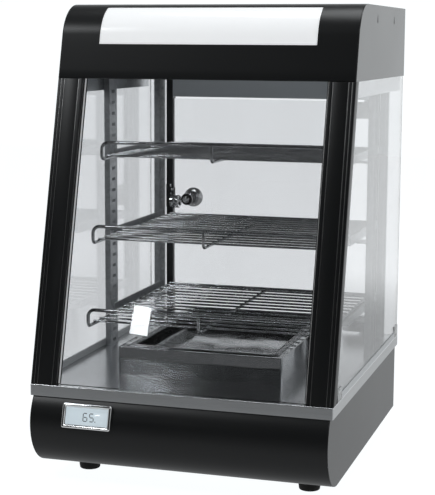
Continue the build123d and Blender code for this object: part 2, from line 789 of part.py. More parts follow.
# Door pane, notched at its hinge corners and drilled for the knob
door_half = post_inner_x - door_gap
knob_x = knob_inset - door_half
strike_x = strike_inset - door_half
notch_height = clamp_height / 2
with BuildPart() as door_glass:
    with BuildSketch(Plane.XZ.offset(-door_y)):
        with Locations((0, (door_bottom + door_top) / 2)):
            Rectangle(2 * door_half, door_top - door_bottom)
        with Locations((door_half, door_bottom), (door_half, door_top)):
            Rectangle(2 * (clamp_length + fit_gap), 2 * notch_height, mode=Mode.SUBTRACT)
        with Locations((knob_x, z_deck + knob_height)):
            Circle(knob_screw_radius + 1, mode=Mode.SUBTRACT)
    extrude(amount=door_pane / 2, both=True)
door_glass.part.label = "door_glass"
export_step(door_glass.part, "parts/door_glass.step")

# Hinge clamps on the pane's corners, bored for the pins that stand on deck and rail
with BuildPart() as door_hinge_clamps:
    clamp_x = door_half - clamp_length / 2
    for low, slot_z in ((door_bottom, door_bottom + notch_height), (door_top - clamp_height, door_top - clamp_height)):
        with BuildSketch(Plane.XY.offset(low)):
            with Locations((clamp_x, door_y)):
                RectangleRounded(clamp_length, clamp_depth, clamp_end_radius)
        extrude(amount=clamp_height)
        with BuildSketch(Plane.XY.offset(slot_z)):
            with Locations((clamp_x, door_y)):
                Rectangle(clamp_length, door_pane)
        extrude(amount=notch_height, mode=Mode.SUBTRACT)
    with BuildSketch(Plane.XY.offset(door_bottom)):
        with Locations((door_hinge_x, door_y)):
            Circle(hinge_pin_radius + shaft_gap)
    extrude(amount=notch_height - 2, mode=Mode.SUBTRACT)
    with BuildSketch(Plane.XY.offset(door_top)):
        with Locations((door_hinge_x, door_y)):
            Circle(hinge_pin_radius + shaft_gap)
    extrude(amount=-(notch_height - 2), mode=Mode.SUBTRACT)
door_hinge_clamps.part.label = "door_hinge_clamps"
export_step(door_hinge_clamps.part, "parts/door_hinge_clamps.step")

with BuildPart() as door_hinge_pins:
    for plane_z, way in ((z_deck, 1), (z_bay_top - top_rail_height, -1)):
        with BuildSketch(Plane.XY.offset(plane_z)):
            with Locations((door_hinge_x, door_y)):
                Circle(5.5)
        extrude(amount=way * (door_lift - fit_gap))
        with BuildSketch(Plane.XY.offset(plane_z)):
            with Locations((door_hinge_x, door_y)):
                Circle(hinge_pin_radius)
        extrude(amount=way * (door_lift + notch_height - 3))
door_hinge_pins.part.label = "door_hinge_pins"
export_step(door_hinge_pins.part, "parts/door_hinge_pins.step")

# Ball knob behind the door pane, and the washer and screw that hold it from inside
knob_z = z_deck + knob_height
knob_plane = Plane(origin=(knob_x, door_y + door_pane / 2, knob_z), z_dir=(0, 1, 0))
knob_end = y_back + knob_reach
ball_reach = knob_end - knob_radius - (door_y + door_pane / 2)
with BuildPart() as door_knob:
    with Locations(knob_plane):
        Cylinder(knob_flange_radius, 3.0, align=outward)
        Cylinder(knob_neck_radius, ball_reach, align=outward)
    with Locations(knob_plane.offset(ball_reach)):
        Sphere(knob_radius)
    with Locations(knob_plane):
        Cylinder(knob_screw_radius + shaft_gap, knob_screw_length + 1, align=outward, mode=Mode.SUBTRACT)
door_knob.part.label = "door_knob"
export_step(door_knob.part, "parts/door_knob.step")

with BuildPart() as door_knob_screw:
    with Locations(knob_plane.offset(-door_pane)):
        Cylinder(knob_washer_radius, 1.5, align=inward)
        Cylinder(knob_washer_radius - 1.8, 4.0, align=inward)
        Cylinder(knob_screw_radius, door_pane + knob_screw_length, align=outward)
door_knob_screw.part.label = "door_knob_screw"
export_step(door_knob_screw.part, "parts/door_knob_screw.step")

# Thin steel disc on the pane, and the magnet barrel on the post that holds it shut
magnet_z = z_deck + magnet_height
pane_front = door_y - door_pane / 2
with BuildPart() as door_strike:
    with BuildSketch(Plane.XZ.offset(-pane_front)):
        with Locations((strike_x, magnet_z)):
            Circle(strike_radius)
    extrude(amount=strike_thickness)
door_strike.part.label = "door_strike"
export_step(door_strike.part, "parts/door_strike.step")

magnet_y = pane_front - strike_thickness - fit_gap - magnet_radius
post_front = post_y - post_depth / 2
with BuildPart() as door_magnet:
    with BuildSketch(Plane.YZ.offset(-post_inner_x)):
        with Locations((magnet_y, magnet_z)):
            Circle(magnet_radius)
    extrude(amount=magnet_length)
    chamfer(door_magnet.faces().sort_by(Axis.X)[-1].edges(), 0.8)
    with BuildSketch(Plane.XZ.offset(-post_front)):
        with Locations((-post_inner_x - post_width, magnet_z - magnet_radius)):
            Rectangle(post_width + magnet_plate, magnet_plate_rise, align=(Align.MIN, Align.MIN))
    extrude(amount=magnet_plate)
door_magnet.part.label = "door_magnet"
export_step(door_magnet.part, "parts/door_magnet.step")

# Canopy shell: one bent sheet from the header over the curve to the top, with the
# window for the sign and a return flange under the header
return_flange = 12.0
inner_half = half_canopy - sheet
rear_cut = y_back - sheet
with BuildPart() as canopy_shell:
    with BuildSketch(Plane.YZ):
        draw_canopy_outline()
    extrude(amount=inner_half, both=True)
    with BuildSketch(Plane.YZ):
        draw_canopy_outline()
        offset(amount=-sheet, kind=Kind.INTERSECTION, mode=Mode.REPLACE)
    extrude(amount=inner_half, both=True, mode=Mode.SUBTRACT)
    floor_start = y_header + return_flange
    with Locations((0, (floor_start + y_back) / 2, z_bay_top)):
        Box(canopy_width, y_back - floor_start, 2.1 * sheet, mode=Mode.SUBTRACT)
    with Locations((0, rear_cut, (z_bay_top + z_top) / 2)):
        Box(canopy_width, 2 * sheet, 1.1 * canopy_height, align=(Align.CENTER, Align.MIN, Align.CENTER),
            mode=Mode.SUBTRACT)
    sign_low = z_bay_top + header_height
    sign_back = y_back - sign_rear_inset
    with Locations((0, sign_back, sign_low)):
        Box(sign_width, body_depth, canopy_height, align=(Align.CENTER, Align.MAX, Align.MIN), mode=Mode.SUBTRACT)
canopy_shell.part.label = "canopy_shell"
export_step(canopy_shell.part, "parts/canopy_shell.step")

# End caps of the canopy, each with two wedge-shaped air slits
for side, label in ((-1, "canopy_side_left"), (1, "canopy_side_right")):
    with BuildPart() as canopy_side:
        with BuildSketch(Plane.YZ.offset(side * (half_canopy - sheet / 2))):
            draw_canopy_outline()
            with Locations(*[(y_back - inset, z_bay_top + slit_level) for inset in slit_insets]):
                Trapezoid(slit_width, slit_height, slit_slope, mode=Mode.SUBTRACT)
        extrude(amount=sheet / 2, both=True)
    canopy_side.part.label = label
    export_step(canopy_side.part, f"parts/{label}.step")

# Rear panel of the canopy, with air slots above the lamp driver
with BuildPart() as canopy_rear_panel:
    with BuildSketch(Plane.XZ.offset(-y_back)):
        with Locations((0, (z_bay_top + z_top) / 2)):
            Rectangle(2 * inner_half, canopy_height)
            with GridLocations(vent_length + 20, vent_width * 3, 4, 3):
                SlotOverall(vent_length, vent_width, mode=Mode.SUBTRACT)
    extrude(amount=sheet)
canopy_rear_panel.part.label = "canopy_rear_panel"
export_step(canopy_rear_panel.part, "parts/canopy_rear_panel.step")

# Ceiling of the bay, with side lips that hang inside the panes and a window for the lamp
lamp_y = y_back - lamp_inset
lip_x = glass_x - fit_gap - sheet / 2
lip_front = y_header + pillar_depth + fit_gap
lip_back = post_y - post_depth / 2 - fit_gap
with BuildPart() as ceiling_panel:
    ceiling_length = rear_cut - floor_start
    with BuildSketch(Plane.XY.offset(z_bay_top)):
        with Locations((0, floor_start + ceiling_length / 2)):
            Rectangle(2 * inner_half, ceiling_length)
        with Locations((0, lamp_y)):
            RectangleRounded(lamp_length - 40, 3 * lamp_radius, 6, mode=Mode.SUBTRACT)
    extrude(amount=sheet)
    with BuildSketch(Plane.XY.offset(z_bay_top)):
        with Locations((-lip_x, (lip_front + lip_back) / 2), (lip_x, (lip_front + lip_back) / 2)):
            Rectangle(sheet, lip_back - lip_front)
    extrude(amount=-ceiling_lip)
ceiling_panel.part.label = "ceiling_panel"
export_step(ceiling_panel.part, "parts/ceiling_panel.step")

# Sign panel: a bent acrylic sheet against the inside of the shell
sign_lap = 8.0
with BuildPart() as sign_panel:
    with BuildSketch(Plane.YZ):
        draw_canopy_outline()
        offset(amount=-sheet, kind=Kind.INTERSECTION, mode=Mode.REPLACE)
    extrude(amount=sign_width / 2 + sign_lap, both=True)
    with BuildSketch(Plane.YZ):
        draw_canopy_outline()
        offset(amount=-sheet - sign_thickness, kind=Kind.INTERSECTION, mode=Mode.REPLACE)
    extrude(amount=canopy_width, both=True, mode=Mode.SUBTRACT)
    with Locations((0, sign_back + sign_lap, sign_low - sign_lap)):
        Box(canopy_width, body_depth, canopy_height, align=(Align.CENTER, Align.MAX, Align.MIN),
            mode=Mode.INTERSECT)
sign_panel.part.label = "sign_panel"
export_step(sign_panel.part, "parts/sign_panel.step")

# Lamp tube between its holders, and the driver that feeds it, all on the ceiling
lamp_z = z_bay_top + lamp_height
with BuildPart() as lamp_tube:
    with BuildSketch(Plane.YZ):
        with Locations((lamp_y, lamp_z)):
            Circle(lamp_radius)
    extrude(amount=lamp_length / 2, both=True)
lamp_tube.part.label = "lamp_tube"
export_step(lamp_tube.part, "parts/lamp_tube.step")

with BuildPart() as lamp_holders:
    for side in (-1, 1):
        with BuildSketch(Plane.YZ.offset(side * lamp_length / 2)):
            with Locations((lamp_y, z_bay_top + sheet)):
                holder_height = lamp_height + 1.4 * lamp_radius - sheet
                Rectangle(lamp_holder_width, holder_height, align=(Align.CENTER, Align.MIN))
        extrude(amount=side * lamp_holder_length)
lamp_holders.part.label = "lamp_holders"
export_step(lamp_holders.part, "parts/lamp_holders.step")

with BuildPart() as lamp_driver:
    driver_centre = (driver_x, y_back - driver_inset)
    with BuildSketch(Plane.XY.offset(z_bay_top + sheet)):
        with Locations(driver_centre):
            Rectangle(driver_length + 2 * driver_ear, 0.6 * driver_width)
    extrude(amount=2 * sheet)
    with BuildSketch(Plane.XY.offset(z_bay_top + sheet)):
        with Locations(driver_centre):
            Rectangle(driver_length, driver_width)
    extrude(amount=driver_height)
lamp_driver.part.label = "lamp_driver"
export_step(lamp_driver.part, "parts/lamp_driver.step")

# Levels of the ledges that carry the shelves
ledge_levels = [
    z_deck + height - wire_radius - 2 * rod_radius + weld_sink - fit_gap for height in shelf_heights.values()
]
slot_offset = ledge_levels[0] - 5.0 - z_deck

# Slotted uprights: channels with their slotted web facing the shelves
uprights = (
    (-1, front_upright_x, front_upright_inset, "upright_front_left"),
    (1, front_upright_x, front_upright_inset, "upright_front_right"),
    (-1, rear_upright_x, rear_upright_inset, "upright_rear_left"),
    (1, rear_upright_x, rear_upright_inset, "upright_rear_right"),
)
slots_below = int((slot_offset - slot_height) / slot_pitch)
slot_count = int((bay_height - 2 * slot_height) / slot_pitch)
for side, web_x, inset, label in uprights:
    with BuildPart() as upright:
        middle_y = y_back - inset + upright_width / 2
        with BuildSketch(Plane.XY.offset(z_deck)):
            with Locations((side * (web_x + upright_depth / 2), middle_y)):
                Rectangle(upright_depth, upright_width)
            with Locations((side * (web_x + upright_depth / 2 + upright_wall), middle_y)):
                Rectangle(upright_depth, upright_width - 2 * upright_wall, mode=Mode.SUBTRACT)
        extrude(amount=bay_height)
        slots = [
            (middle_y, z_deck + slot_offset + (index - slots_below) * slot_pitch)
            for index in range(slot_count)
        ]
        with BuildSketch(Plane.YZ.offset(side * (web_x - 1))):
            with Locations(*slots):
                Rectangle(slot_length, slot_height)
        extrude(amount=side * (upright_wall + 2), mode=Mode.SUBTRACT)
    upright.part.label = label
    export_step(upright.part, f"parts/{label}.step")

# Side rails: an upturned angle from front to rear upright, its tongue and tabs in the slots
rail_outer = rear_upright_x
rail_front = y_back - rail_front_inset
rail_back = y_back - rail_rear_inset
front_tab_y = y_back - front_upright_inset + upright_width / 2
rear_tab_y = y_back - rear_upright_inset + upright_width / 2
with BuildPart() as shelf_rails:
    for level in ledge_levels:
        for side in (-1, 1):
            ledge_width = rail_outer - shelf_half_width + rod_radius
            with Locations((side * (rail_outer - ledge_width / 2), (rail_front + rail_back) / 2, level)):
                Box(ledge_width, rail_back - rail_front, 1.5, align=(Align.CENTER, Align.CENTER, Align.MAX))
            with Locations((side * (rail_outer - 0.75), (rail_front + rail_back) / 2, level - 1.5)):
                Box(1.5, rail_back - rail_front, rail_web, align=(Align.CENTER, Align.CENTER, Align.MIN))
            tongue = front_upright_x - rail_outer + 1.5
            with Locations((side * (rail_outer - 1.5 + tongue / 2), front_tab_y, level)):
                Box(tongue, upright_width, 1.5, align=(Align.CENTER, Align.CENTER, Align.MAX))
            for tab_x, tab_y in ((front_upright_x, front_tab_y), (rail_outer, rear_tab_y)):
                with Locations((side * (tab_x - 0.75), tab_y, level)):
                    Box(1.5, slot_length - 2, 6.5, align=(Align.CENTER, Align.CENTER, Align.MAX))
                with Locations((side * (tab_x + 1.5), tab_y, level - 5.0)):
                    Box(4.5, slot_length - 4, 2.4)
shelf_rails.part.label = "shelf_rails"
export_step(shelf_rails.part, "parts/shelf_rails.step")

# Wire shelves: a closed frame rod whose front rises into a rail, a middle rod and the
# cross wires welded on top of them
for label, height in shelf_heights.items():
    wire_z = z_deck + height
    rod_z = wire_z - wire_radius - rod_radius + weld_sink
    rail_z = wire_z + shelf_rail_rise
    front_y = y_back - shelf_lengths[label]
    rear_y = y_back - shelf_rear_inset - post_depth
    with BuildPart() as shelf:
        with BuildLine() as frame_path:
            FilletPolyline(
                (-shelf_half_width, rear_y, rod_z), (-shelf_half_width, front_y, rod_z),
                (-shelf_half_width, front_y, rail_z), (shelf_half_width, front_y, rail_z),
                (shelf_half_width, front_y, rod_z), (shelf_half_width, rear_y, rod_z),
                close=True, radius=[rod_bend, rod_bend, rail_bend, rail_bend, rod_bend, rod_bend],
            )
        loop = frame_path.wires()[0]
        with BuildSketch(Plane(origin=loop @ 0, z_dir=loop % 0)):
            Circle(rod_radius)
        sweep(path=loop)
        with BuildLine() as middle_path:
            FilletPolyline((0, rear_y, rod_z), (0, front_y, rod_z), (0, front_y, rail_z), radius=rod_bend)
        with BuildSketch(Plane(origin=(0, rear_y, rod_z), z_dir=(0, -1, 0))):
            Circle(middle_rod_radius)
        sweep(path=middle_path.wires()[0])
        wire_span = shelf_lengths[label] - shelf_rear_inset - post_depth
        wire_count = round(wire_span / wire_pitch)
        wires = [
            Location((0, rear_y - index * wire_span / wire_count, wire_z), (0, 90, 0))
            for index in range(wire_count)
        ]
        with Locations(*wires):
            Cylinder(wire_radius, 2 * shelf_half_width + wire_end)
    shelf.part.label = label
    export_step(shelf.part, f"parts/{label}.step")
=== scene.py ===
import json
from math import cos, pi, radians, sin, tan

import bmesh
import bpy
import numpy as np
from mathutils import Matrix, Vector

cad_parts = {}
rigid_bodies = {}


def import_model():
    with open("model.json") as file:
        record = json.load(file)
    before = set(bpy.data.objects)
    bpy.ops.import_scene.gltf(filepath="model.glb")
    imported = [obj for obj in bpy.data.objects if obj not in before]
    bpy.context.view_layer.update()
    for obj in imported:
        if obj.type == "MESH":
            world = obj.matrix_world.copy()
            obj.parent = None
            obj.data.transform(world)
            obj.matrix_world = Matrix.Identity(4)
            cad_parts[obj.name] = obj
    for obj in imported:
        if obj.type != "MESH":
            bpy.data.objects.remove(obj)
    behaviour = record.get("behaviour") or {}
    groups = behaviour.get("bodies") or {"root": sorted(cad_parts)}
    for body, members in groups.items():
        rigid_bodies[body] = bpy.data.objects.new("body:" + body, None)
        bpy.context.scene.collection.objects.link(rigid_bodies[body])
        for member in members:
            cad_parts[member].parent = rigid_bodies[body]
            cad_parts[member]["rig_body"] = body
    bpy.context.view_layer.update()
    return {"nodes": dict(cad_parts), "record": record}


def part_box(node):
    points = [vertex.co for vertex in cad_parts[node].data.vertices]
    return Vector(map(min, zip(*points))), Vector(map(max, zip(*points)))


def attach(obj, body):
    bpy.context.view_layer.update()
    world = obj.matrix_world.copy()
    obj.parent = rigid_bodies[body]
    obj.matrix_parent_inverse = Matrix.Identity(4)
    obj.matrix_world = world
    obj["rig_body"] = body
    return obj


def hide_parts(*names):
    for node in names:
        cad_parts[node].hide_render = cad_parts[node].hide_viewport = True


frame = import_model()

# Drink warmer cabinet. Metres; X to the right seen from the front, -Y the front, +Z up.
# Sizes that more than one piece needs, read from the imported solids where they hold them.
MM = 0.001
LEAN = radians(14.5)
SHEET = 1.2 * MM
deck_low, deck_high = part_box("deck_plate")
shell_low, shell_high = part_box("canopy_shell")
skin_low, skin_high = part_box("base_front_skin")
Z_DECK, Z_BAY, Z_TOP = deck_high.z, shell_low.z, shell_high.z
BAY = Z_BAY - Z_DECK
HALF, BACK, Y_DECK = deck_high.x, deck_high.y, deck_low.y
NOSE_RADIUS = skin_high.y - skin_low.y
NOSE_Y, NOSE_Z = skin_low.y + NOSE_RADIUS, skin_low.z + NOSE_RADIUS
Y_HEADER = shell_low.y
CANOPY_RADIUS = 52.0 * MM

# How shapes are made: corners nearer than a weld are one, and a round bar ends in a dome of a few
# rings, the last one a small share of its radius. No bar runs along the askew direction.
WELD, CAD_WELD = 1e-7, 1e-6
DOME_STEPS, DOME_TIP = 4, 0.02
RIM_STEPS = 3
ASKEW = (0.57, 0.60, 0.55)


def mm(values):
    """Millimetres as an array of metres."""
    return np.asarray(values, float) * MM


def middle(low, high):
    """The point half way between two corners of a box."""
    return (low.x + high.x) / 2, (low.y + high.y) / 2, (low.z + high.z) / 2


def body_of(node):
    """The body that a CAD node moves with."""
    return frame["nodes"][node]["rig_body"]


def grid_quads(rows, columns, wrap_rows=False, wrap_columns=False):
    """Corner numbers of the quads of a rows by columns grid, closed round either way."""
    r = np.arange(rows if wrap_rows else rows - 1)[:, None]
    c = np.arange(columns if wrap_columns else columns - 1)[None, :]
    up, right = (r + 1) % rows, (c + 1) % columns
    corners = [r * columns + c, r * columns + right, up * columns + right, up * columns + c]
    size = (r.size, c.size)
    return np.stack([np.broadcast_to(x, size) for x in corners], -1).reshape(-1, 4)


def capped(rings, count):
    """Quads between rings of count corners each, and one flat face on the first and last ring."""
    last = (rings - 1) * count
    ends = [list(range(count))[::-1], list(range(last, last + count))]
    return grid_quads(rings, count, wrap_columns=True).tolist() + ends


def placed(name, mesh, material, body):
    """Makes a mesh a piece at the origin in one named material and rides it on a body."""
    mesh.materials.clear()
    mesh.materials.append(bpy.data.materials[material])
    piece = bpy.data.objects.new(name, mesh)
    bpy.context.scene.collection.objects.link(piece)
    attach(piece, body)
    return piece


def put(name, corners, faces, material, body="cabinet", stands_for=None, slot=None, crease=35.0):
    """Makes a piece from corners and faces: turned outwards, and smooth up to the crease angle.

    It takes the body of the CAD node that it stands for.
    slot is not used.
    """
    mesh = bpy.data.meshes.new(name)
    faces = [[int(i) for i in face] for face in faces]
    mesh.from_pydata(np.asarray(corners, float).tolist(), [], faces)
    work = bmesh.new()
    work.from_mesh(mesh)
    bmesh.ops.remove_doubles(work, verts=work.verts, dist=WELD)
    bmesh.ops.recalc_face_normals(work, faces=work.faces)
    work.to_mesh(mesh)
    work.free()
    mesh.polygons.foreach_set("use_smooth", [True] * len(mesh.polygons))
    mesh.set_sharp_from_angle(angle=radians(crease))
    piece = placed(name, mesh, material, body_of(stands_for) if stands_for else body)
    if stands_for:
        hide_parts(stands_for)
    return piece


def softened(node, material, width):
    """A merged copy of a CAD node, its sharp edges rounded to a width in mm, stands for it."""
    work = bmesh.new()
    work.from_mesh(frame["nodes"][node].data)
    bmesh.ops.remove_doubles(work, verts=work.verts, dist=CAD_WELD)
    flat = radians(1.0)
    bmesh.ops.dissolve_limit(work, angle_limit=flat, verts=work.verts, edges=work.edges)
    mesh = bpy.data.meshes.new(node + "_finished")
    work.to_mesh(mesh)
    work.free()
    mesh.polygons.foreach_set("use_smooth", [True] * len(mesh.polygons))
    piece = placed(node + "_finished", mesh, material, body_of(node))
    bevel = piece.modifiers.new("edges", "BEVEL")
    bevel.width, bevel.segments, bevel.limit_method = width * MM, 2, "ANGLE"
    bevel.angle_limit = radians(30)
    flats = piece.modifiers.new("flats", "WEIGHTED_NORMAL")
    flats.weight, flats.keep_sharp = 100, True
    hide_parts(node)


def gather(parts):
    """Joins (corners, faces) pairs into one list of corners and one list of faces."""
    corners, faces, count = [], [], 0
    for points, quads in parts:
        corners.append(points)
        faces += [[int(i) + count for i in face] for face in quads]
        count += len(points)
    return np.concatenate(corners), faces


def rounded_path(points, radii, closed=False, steps=8):
    """Straight runs joined by arcs: at each corner an arc of its radius touches both runs."""
    points = np.asarray(points, float)
    total = len(points)
    made = [] if closed else [points[:1]]
    for i in range(0 if closed else 1, total if closed else total - 1):
        before, corner, after = points[i - 1], points[i], points[(i + 1) % total]
        back = (before - corner) / np.linalg.norm(before - corner)
        on = (after - corner) / np.linalg.norm(after - corner)
        half = np.arccos(np.clip(back @ on, -1, 1)) / 2
        reach = radii[i] / np.tan(half)
        centre = corner + (back + on) / np.linalg.norm(back + on) * radii[i] / np.sin(half)
        first, last = corner + back * reach - centre, corner + on * reach - centre
        turn = np.pi - 2 * half
        t = np.linspace(0, 1, steps + 1)[:, None]
        arc = (np.sin((1 - t) * turn) * first + np.sin(t * turn) * last) / np.sin(turn)
        made.append(centre + arc)
    if not closed:
        made.append(points[-1:])
    return np.concatenate(made)


def rounded_box(width, height, radius, steps=6):
    """The outline of a rectangle with round corners, centred, as (u, v) points."""
    a, b = width / 2, height / 2
    return rounded_path([(-a, -b), (a, -b), (a, b), (-a, b)], [radius] * 4, True, steps)


def tube(path, radius, sides, closed=False):
    """A round bar along a path: circles square to the path, with domes on its open ends."""
    path = np.asarray(path, float)
    if closed:
        ahead = np.roll(path, -1, 0) - np.roll(path, 1, 0)
    else:
        ahead = np.gradient(path, axis=0)
    ahead /= np.linalg.norm(ahead, axis=1, keepdims=True)
    thick = np.full(len(path), float(radius))
    if not closed:
        lift = np.linspace(0, pi / 2, DOME_STEPS + 1)[1:]
        dome, shrink = radius * np.sin(lift)[:, None], radius * np.cos(lift)
        shrink[-1] = radius * DOME_TIP
        ends = (path[0] - dome * ahead[0])[::-1], path[-1] + dome * ahead[-1]
        path = np.concatenate([ends[0], path, ends[1]])
        thick = np.concatenate([shrink[::-1], thick, shrink])
        ahead = np.pad(ahead, ((DOME_STEPS, DOME_STEPS), (0, 0)), "edge")
    side = np.cross(ahead, np.array(ASKEW))
    side /= np.linalg.norm(side, axis=1, keepdims=True)
    other = np.cross(ahead, side)
    angle = np.linspace(0, 2 * pi, sides, endpoint=False)[None, :, None]
    ring = side[:, None] * np.cos(angle) + other[:, None] * np.sin(angle)
    corners = (path[:, None] + ring * thick[:, None, None]).reshape(-1, 3)
    if closed:
        return corners, grid_quads(len(path), sides, True, True)
    return corners, capped(len(path), sides)


def lathe(profile, origin, axis, sides):
    """Turns (height, radius) points round an axis through origin, with a flat at each end."""
    axis = np.asarray(axis, float)
    side = np.cross(axis, [0.0, 0.0, 1.0] if abs(axis[2]) < 0.9 else [1.0, 0.0, 0.0])
    side /= np.linalg.norm(side)
    other = np.cross(axis, side)
    angle = np.linspace(0, 2 * pi, sides, endpoint=False)[:, None]
    ring = np.cos(angle) * side + np.sin(angle) * other
    corners = np.asarray(origin, float) + profile[:, :1, None] * axis + profile[:, 1:, None] * ring
    return corners.reshape(-1, 3), capped(len(profile), sides)


def arc_profile(points, radii, steps=5):
    """A (height, radius) profile for lathe, given in mm, with its inner corners rounded."""
    return rounded_path(mm(points), mm([0.0, *radii, 0.0]), steps=steps)


def bar(outline, low, high, rim, place):
    """A closed outline carried straight from low to high, its two rims rounded by quarter arcs.

    place turns outline points and a distance into points of the cabinet.
    """
    outline = np.asarray(outline, float)
    after = np.roll(outline, -1, 0)
    along = after - np.roll(outline, 1, 0)
    area = np.sum(outline[:, 0] * after[:, 1] - after[:, 0] * outline[:, 1])
    normal = np.column_stack([along[:, 1], -along[:, 0]]) * np.sign(area)
    normal /= np.linalg.norm(normal, axis=1, keepdims=True)
    step = np.linspace(0, pi / 2, RIM_STEPS + 1)
    inset, drop = rim * (1 - np.sin(step)), rim * (1 - np.cos(step))
    insets = np.concatenate([inset, inset[::-1]])
    levels = np.concatenate([low + drop, high - drop[::-1]])
    rings = [place(outline - normal * a, b) for a, b in zip(insets, levels)]
    return np.concatenate(rings), capped(len(rings), len(outline))


def sheet_grid(profile, columns, hole=None):
    """A bent sheet: every (y, z) point of the profile carried to every x of columns.

    hole is (row from, row to, column from, column to): the grid's cells inside it are left out.
    """
    rows, count = len(profile), len(columns)
    corners = np.empty((rows, count, 3))
    corners[..., 0] = np.asarray(columns, float)[None, :]
    corners[..., 1:] = np.asarray(profile, float)[:, None, :]
    faces = grid_quads(rows, count)
    if hole:
        row, column = np.divmod(np.arange(len(faces)), count - 1)
        inside = (row >= hole[0]) & (row < hole[1]) & (column >= hole[2]) & (column < hole[3])
        faces = faces[~inside]
    return corners.reshape(-1, 3), faces


def walled(piece, thickness, rim, outward):
    """Turns an open sheet to face outward, thickens it inwards and rounds its rims; mm."""
    mesh = piece.data
    lean_to = sum((p.normal * p.area for p in mesh.polygons), Vector())
    if lean_to.dot(Vector(outward)) < 0:
        mesh.flip_normals()
    wall = piece.modifiers.new("wall", "SOLIDIFY")
    wall.thickness, wall.offset, wall.use_even_offset = thickness * MM, -1.0, True
    edge = piece.modifiers.new("rims", "BEVEL")
    edge.width, edge.segments, edge.limit_method = rim * MM, 2, "ANGLE"
    edge.angle_limit, edge.harden_normals = radians(50), True


# Materials. Every effect group takes a place and gives a Tone between two colours, a Wear
# that drives roughness and a Height for the relief, all changing over the surface.
def feed(tree, target, value):
    """Links a socket to an input, or sets any other value on it."""
    if isinstance(value, bpy.types.NodeSocket):
        tree.links.new(value, target)
    else:
        target.default_value = value


def add(tree, kind, settings=None, **values):
    """Adds a shader node, sets its settings and feeds the inputs that values name."""
    made = tree.nodes.new(kind)
    for key, value in (settings or {}).items():
        setattr(made, key, value)
    for key, value in values.items():
        feed(tree, made.inputs[key.replace("_", " ")], value)
    return made


def maths(tree, operation, *values, kind="ShaderNodeMath"):
    """One Math node, plain or for vectors, its inputs fed in order."""
    made = add(tree, kind, {"operation": operation})
    for target, value in zip(made.inputs, values):
        feed(tree, target, value)
    return made.outputs[0]


def shared(tree, first, second, share):
    """Two values added, the first by a share and the second by the rest."""
    rest = maths(tree, "MULTIPLY", second, 1 - share)
    return maths(tree, "ADD", maths(tree, "MULTIPLY", first, share), rest)


def spread(tree, value, low, high, to_low=0.0, to_high=1.0, smooth=False):
    """Maps a value from one range to another, held inside it."""
    kind = {"interpolation_type": "SMOOTHSTEP" if smooth else "LINEAR"}
    return add(
        tree, "ShaderNodeMapRange", kind, Value=value, From_Min=low, From_Max=high,
        To_Min=to_low, To_Max=to_high,
    ).outputs[0]


def noise(tree, place, scale, detail=3.0, roughness=0.55, distortion=0.0):
    """Fractal noise at a place."""
    return add(
        tree, "ShaderNodeTexNoise", Vector=place, Scale=scale, Detail=detail,
        Roughness=roughness, Distortion=distortion,
    ).outputs["Fac"]


def mapped(tree, place, **settings):
    """A place turned or stretched."""
    return add(tree, "ShaderNodeMapping", Vector=place, **settings).outputs[0]


def effect(name, scale):
    """An empty effect group with its sockets: Place and Scale in; Tone, Wear and Height out."""
    tree = bpy.data.node_groups.new(name, "ShaderNodeTree")
    tree.interface.new_socket("Place", in_out="INPUT", socket_type="NodeSocketVector")
    size = tree.interface.new_socket("Scale", in_out="INPUT", socket_type="NodeSocketFloat")
    size.default_value = scale
    for label in ("Tone", "Wear", "Height"):
        tree.interface.new_socket(label, in_out="OUTPUT", socket_type="NodeSocketFloat")
    given = tree.nodes.new("NodeGroupInput")
    return tree, given.outputs["Place"], given.outputs["Scale"]


def close(tree, tone, wear, height):
    """Joins an effect's three results to its outputs."""
    add(tree, "NodeGroupOutput", Tone=tone, Wear=wear, Height=height)
    return tree


def coat_grain():
    """Powder coat: fine pebbled grain and a slow, cloudy change of gloss."""
    tree, place, scale = effect("coat_grain", 900.0)
    grain = noise(tree, place, scale, 2.0)
    cloud = noise(tree, place, 5.0, 2.0)
    wear = shared(tree, cloud, grain, 0.8)
    return close(tree, shared(tree, cloud, grain, 0.6), wear, grain)


def brushed_lines():
    """Brushed metal: hair lines that run along X of the place, broken up, with cloudy gloss."""
    tree, place, scale = effect("brushed_lines", 1400.0)
    drawn = mapped(tree, place, Scale=(0.018, 1.0, 1.0))
    hair = noise(tree, drawn, scale, 3.0, 0.7)
    band = noise(tree, drawn, maths(tree, "MULTIPLY", scale, 0.12), 2.0)
    cloud = noise(tree, place, 14.0, 3.0)
    return close(tree, shared(tree, hair, band, 0.6), shared(tree, hair, cloud, 0.5), hair)


def rolled_sheet():
    """Polished thin sheet: slow waves left by bending it, faint rolling lines and smears."""
    tree, place, scale = effect("rolled_sheet", 11.0)
    wave = noise(tree, place, scale, 1.0, 0.4, 0.6)
    rolled = noise(tree, mapped(tree, place, Scale=(1.0, 0.05, 1.0)), 500.0, 2.0)
    smear = spread(tree, noise(tree, place, 28.0, 5.0, 0.6), 0.45, 0.75)
    height = maths(tree, "ADD", wave, maths(tree, "MULTIPLY", rolled, 0.004))
    return close(tree, rolled, smear, height)


def zinc_spangle():
    """Galvanised sheet: small crystals of different grey, softly joined."""
    tree, place, scale = effect("zinc_spangle", 160.0)
    bent = add(tree, "ShaderNodeTexNoise", Vector=place, Scale=60.0, Detail=2.0).outputs["Color"]
    bend = (0.006, 0.006, 0.006)
    shifted = maths(tree, "MULTIPLY_ADD", bent, bend, place, kind="ShaderNodeVectorMath")
    cells = add(tree, "ShaderNodeTexVoronoi", Vector=shifted, Scale=scale)
    shade = add(tree, "ShaderNodeSeparateColor", Color=cells.outputs["Color"]).outputs[0]
    film = noise(tree, place, 35.0, 4.0)
    return close(tree, shared(tree, shade, film, 0.5), film, shade)


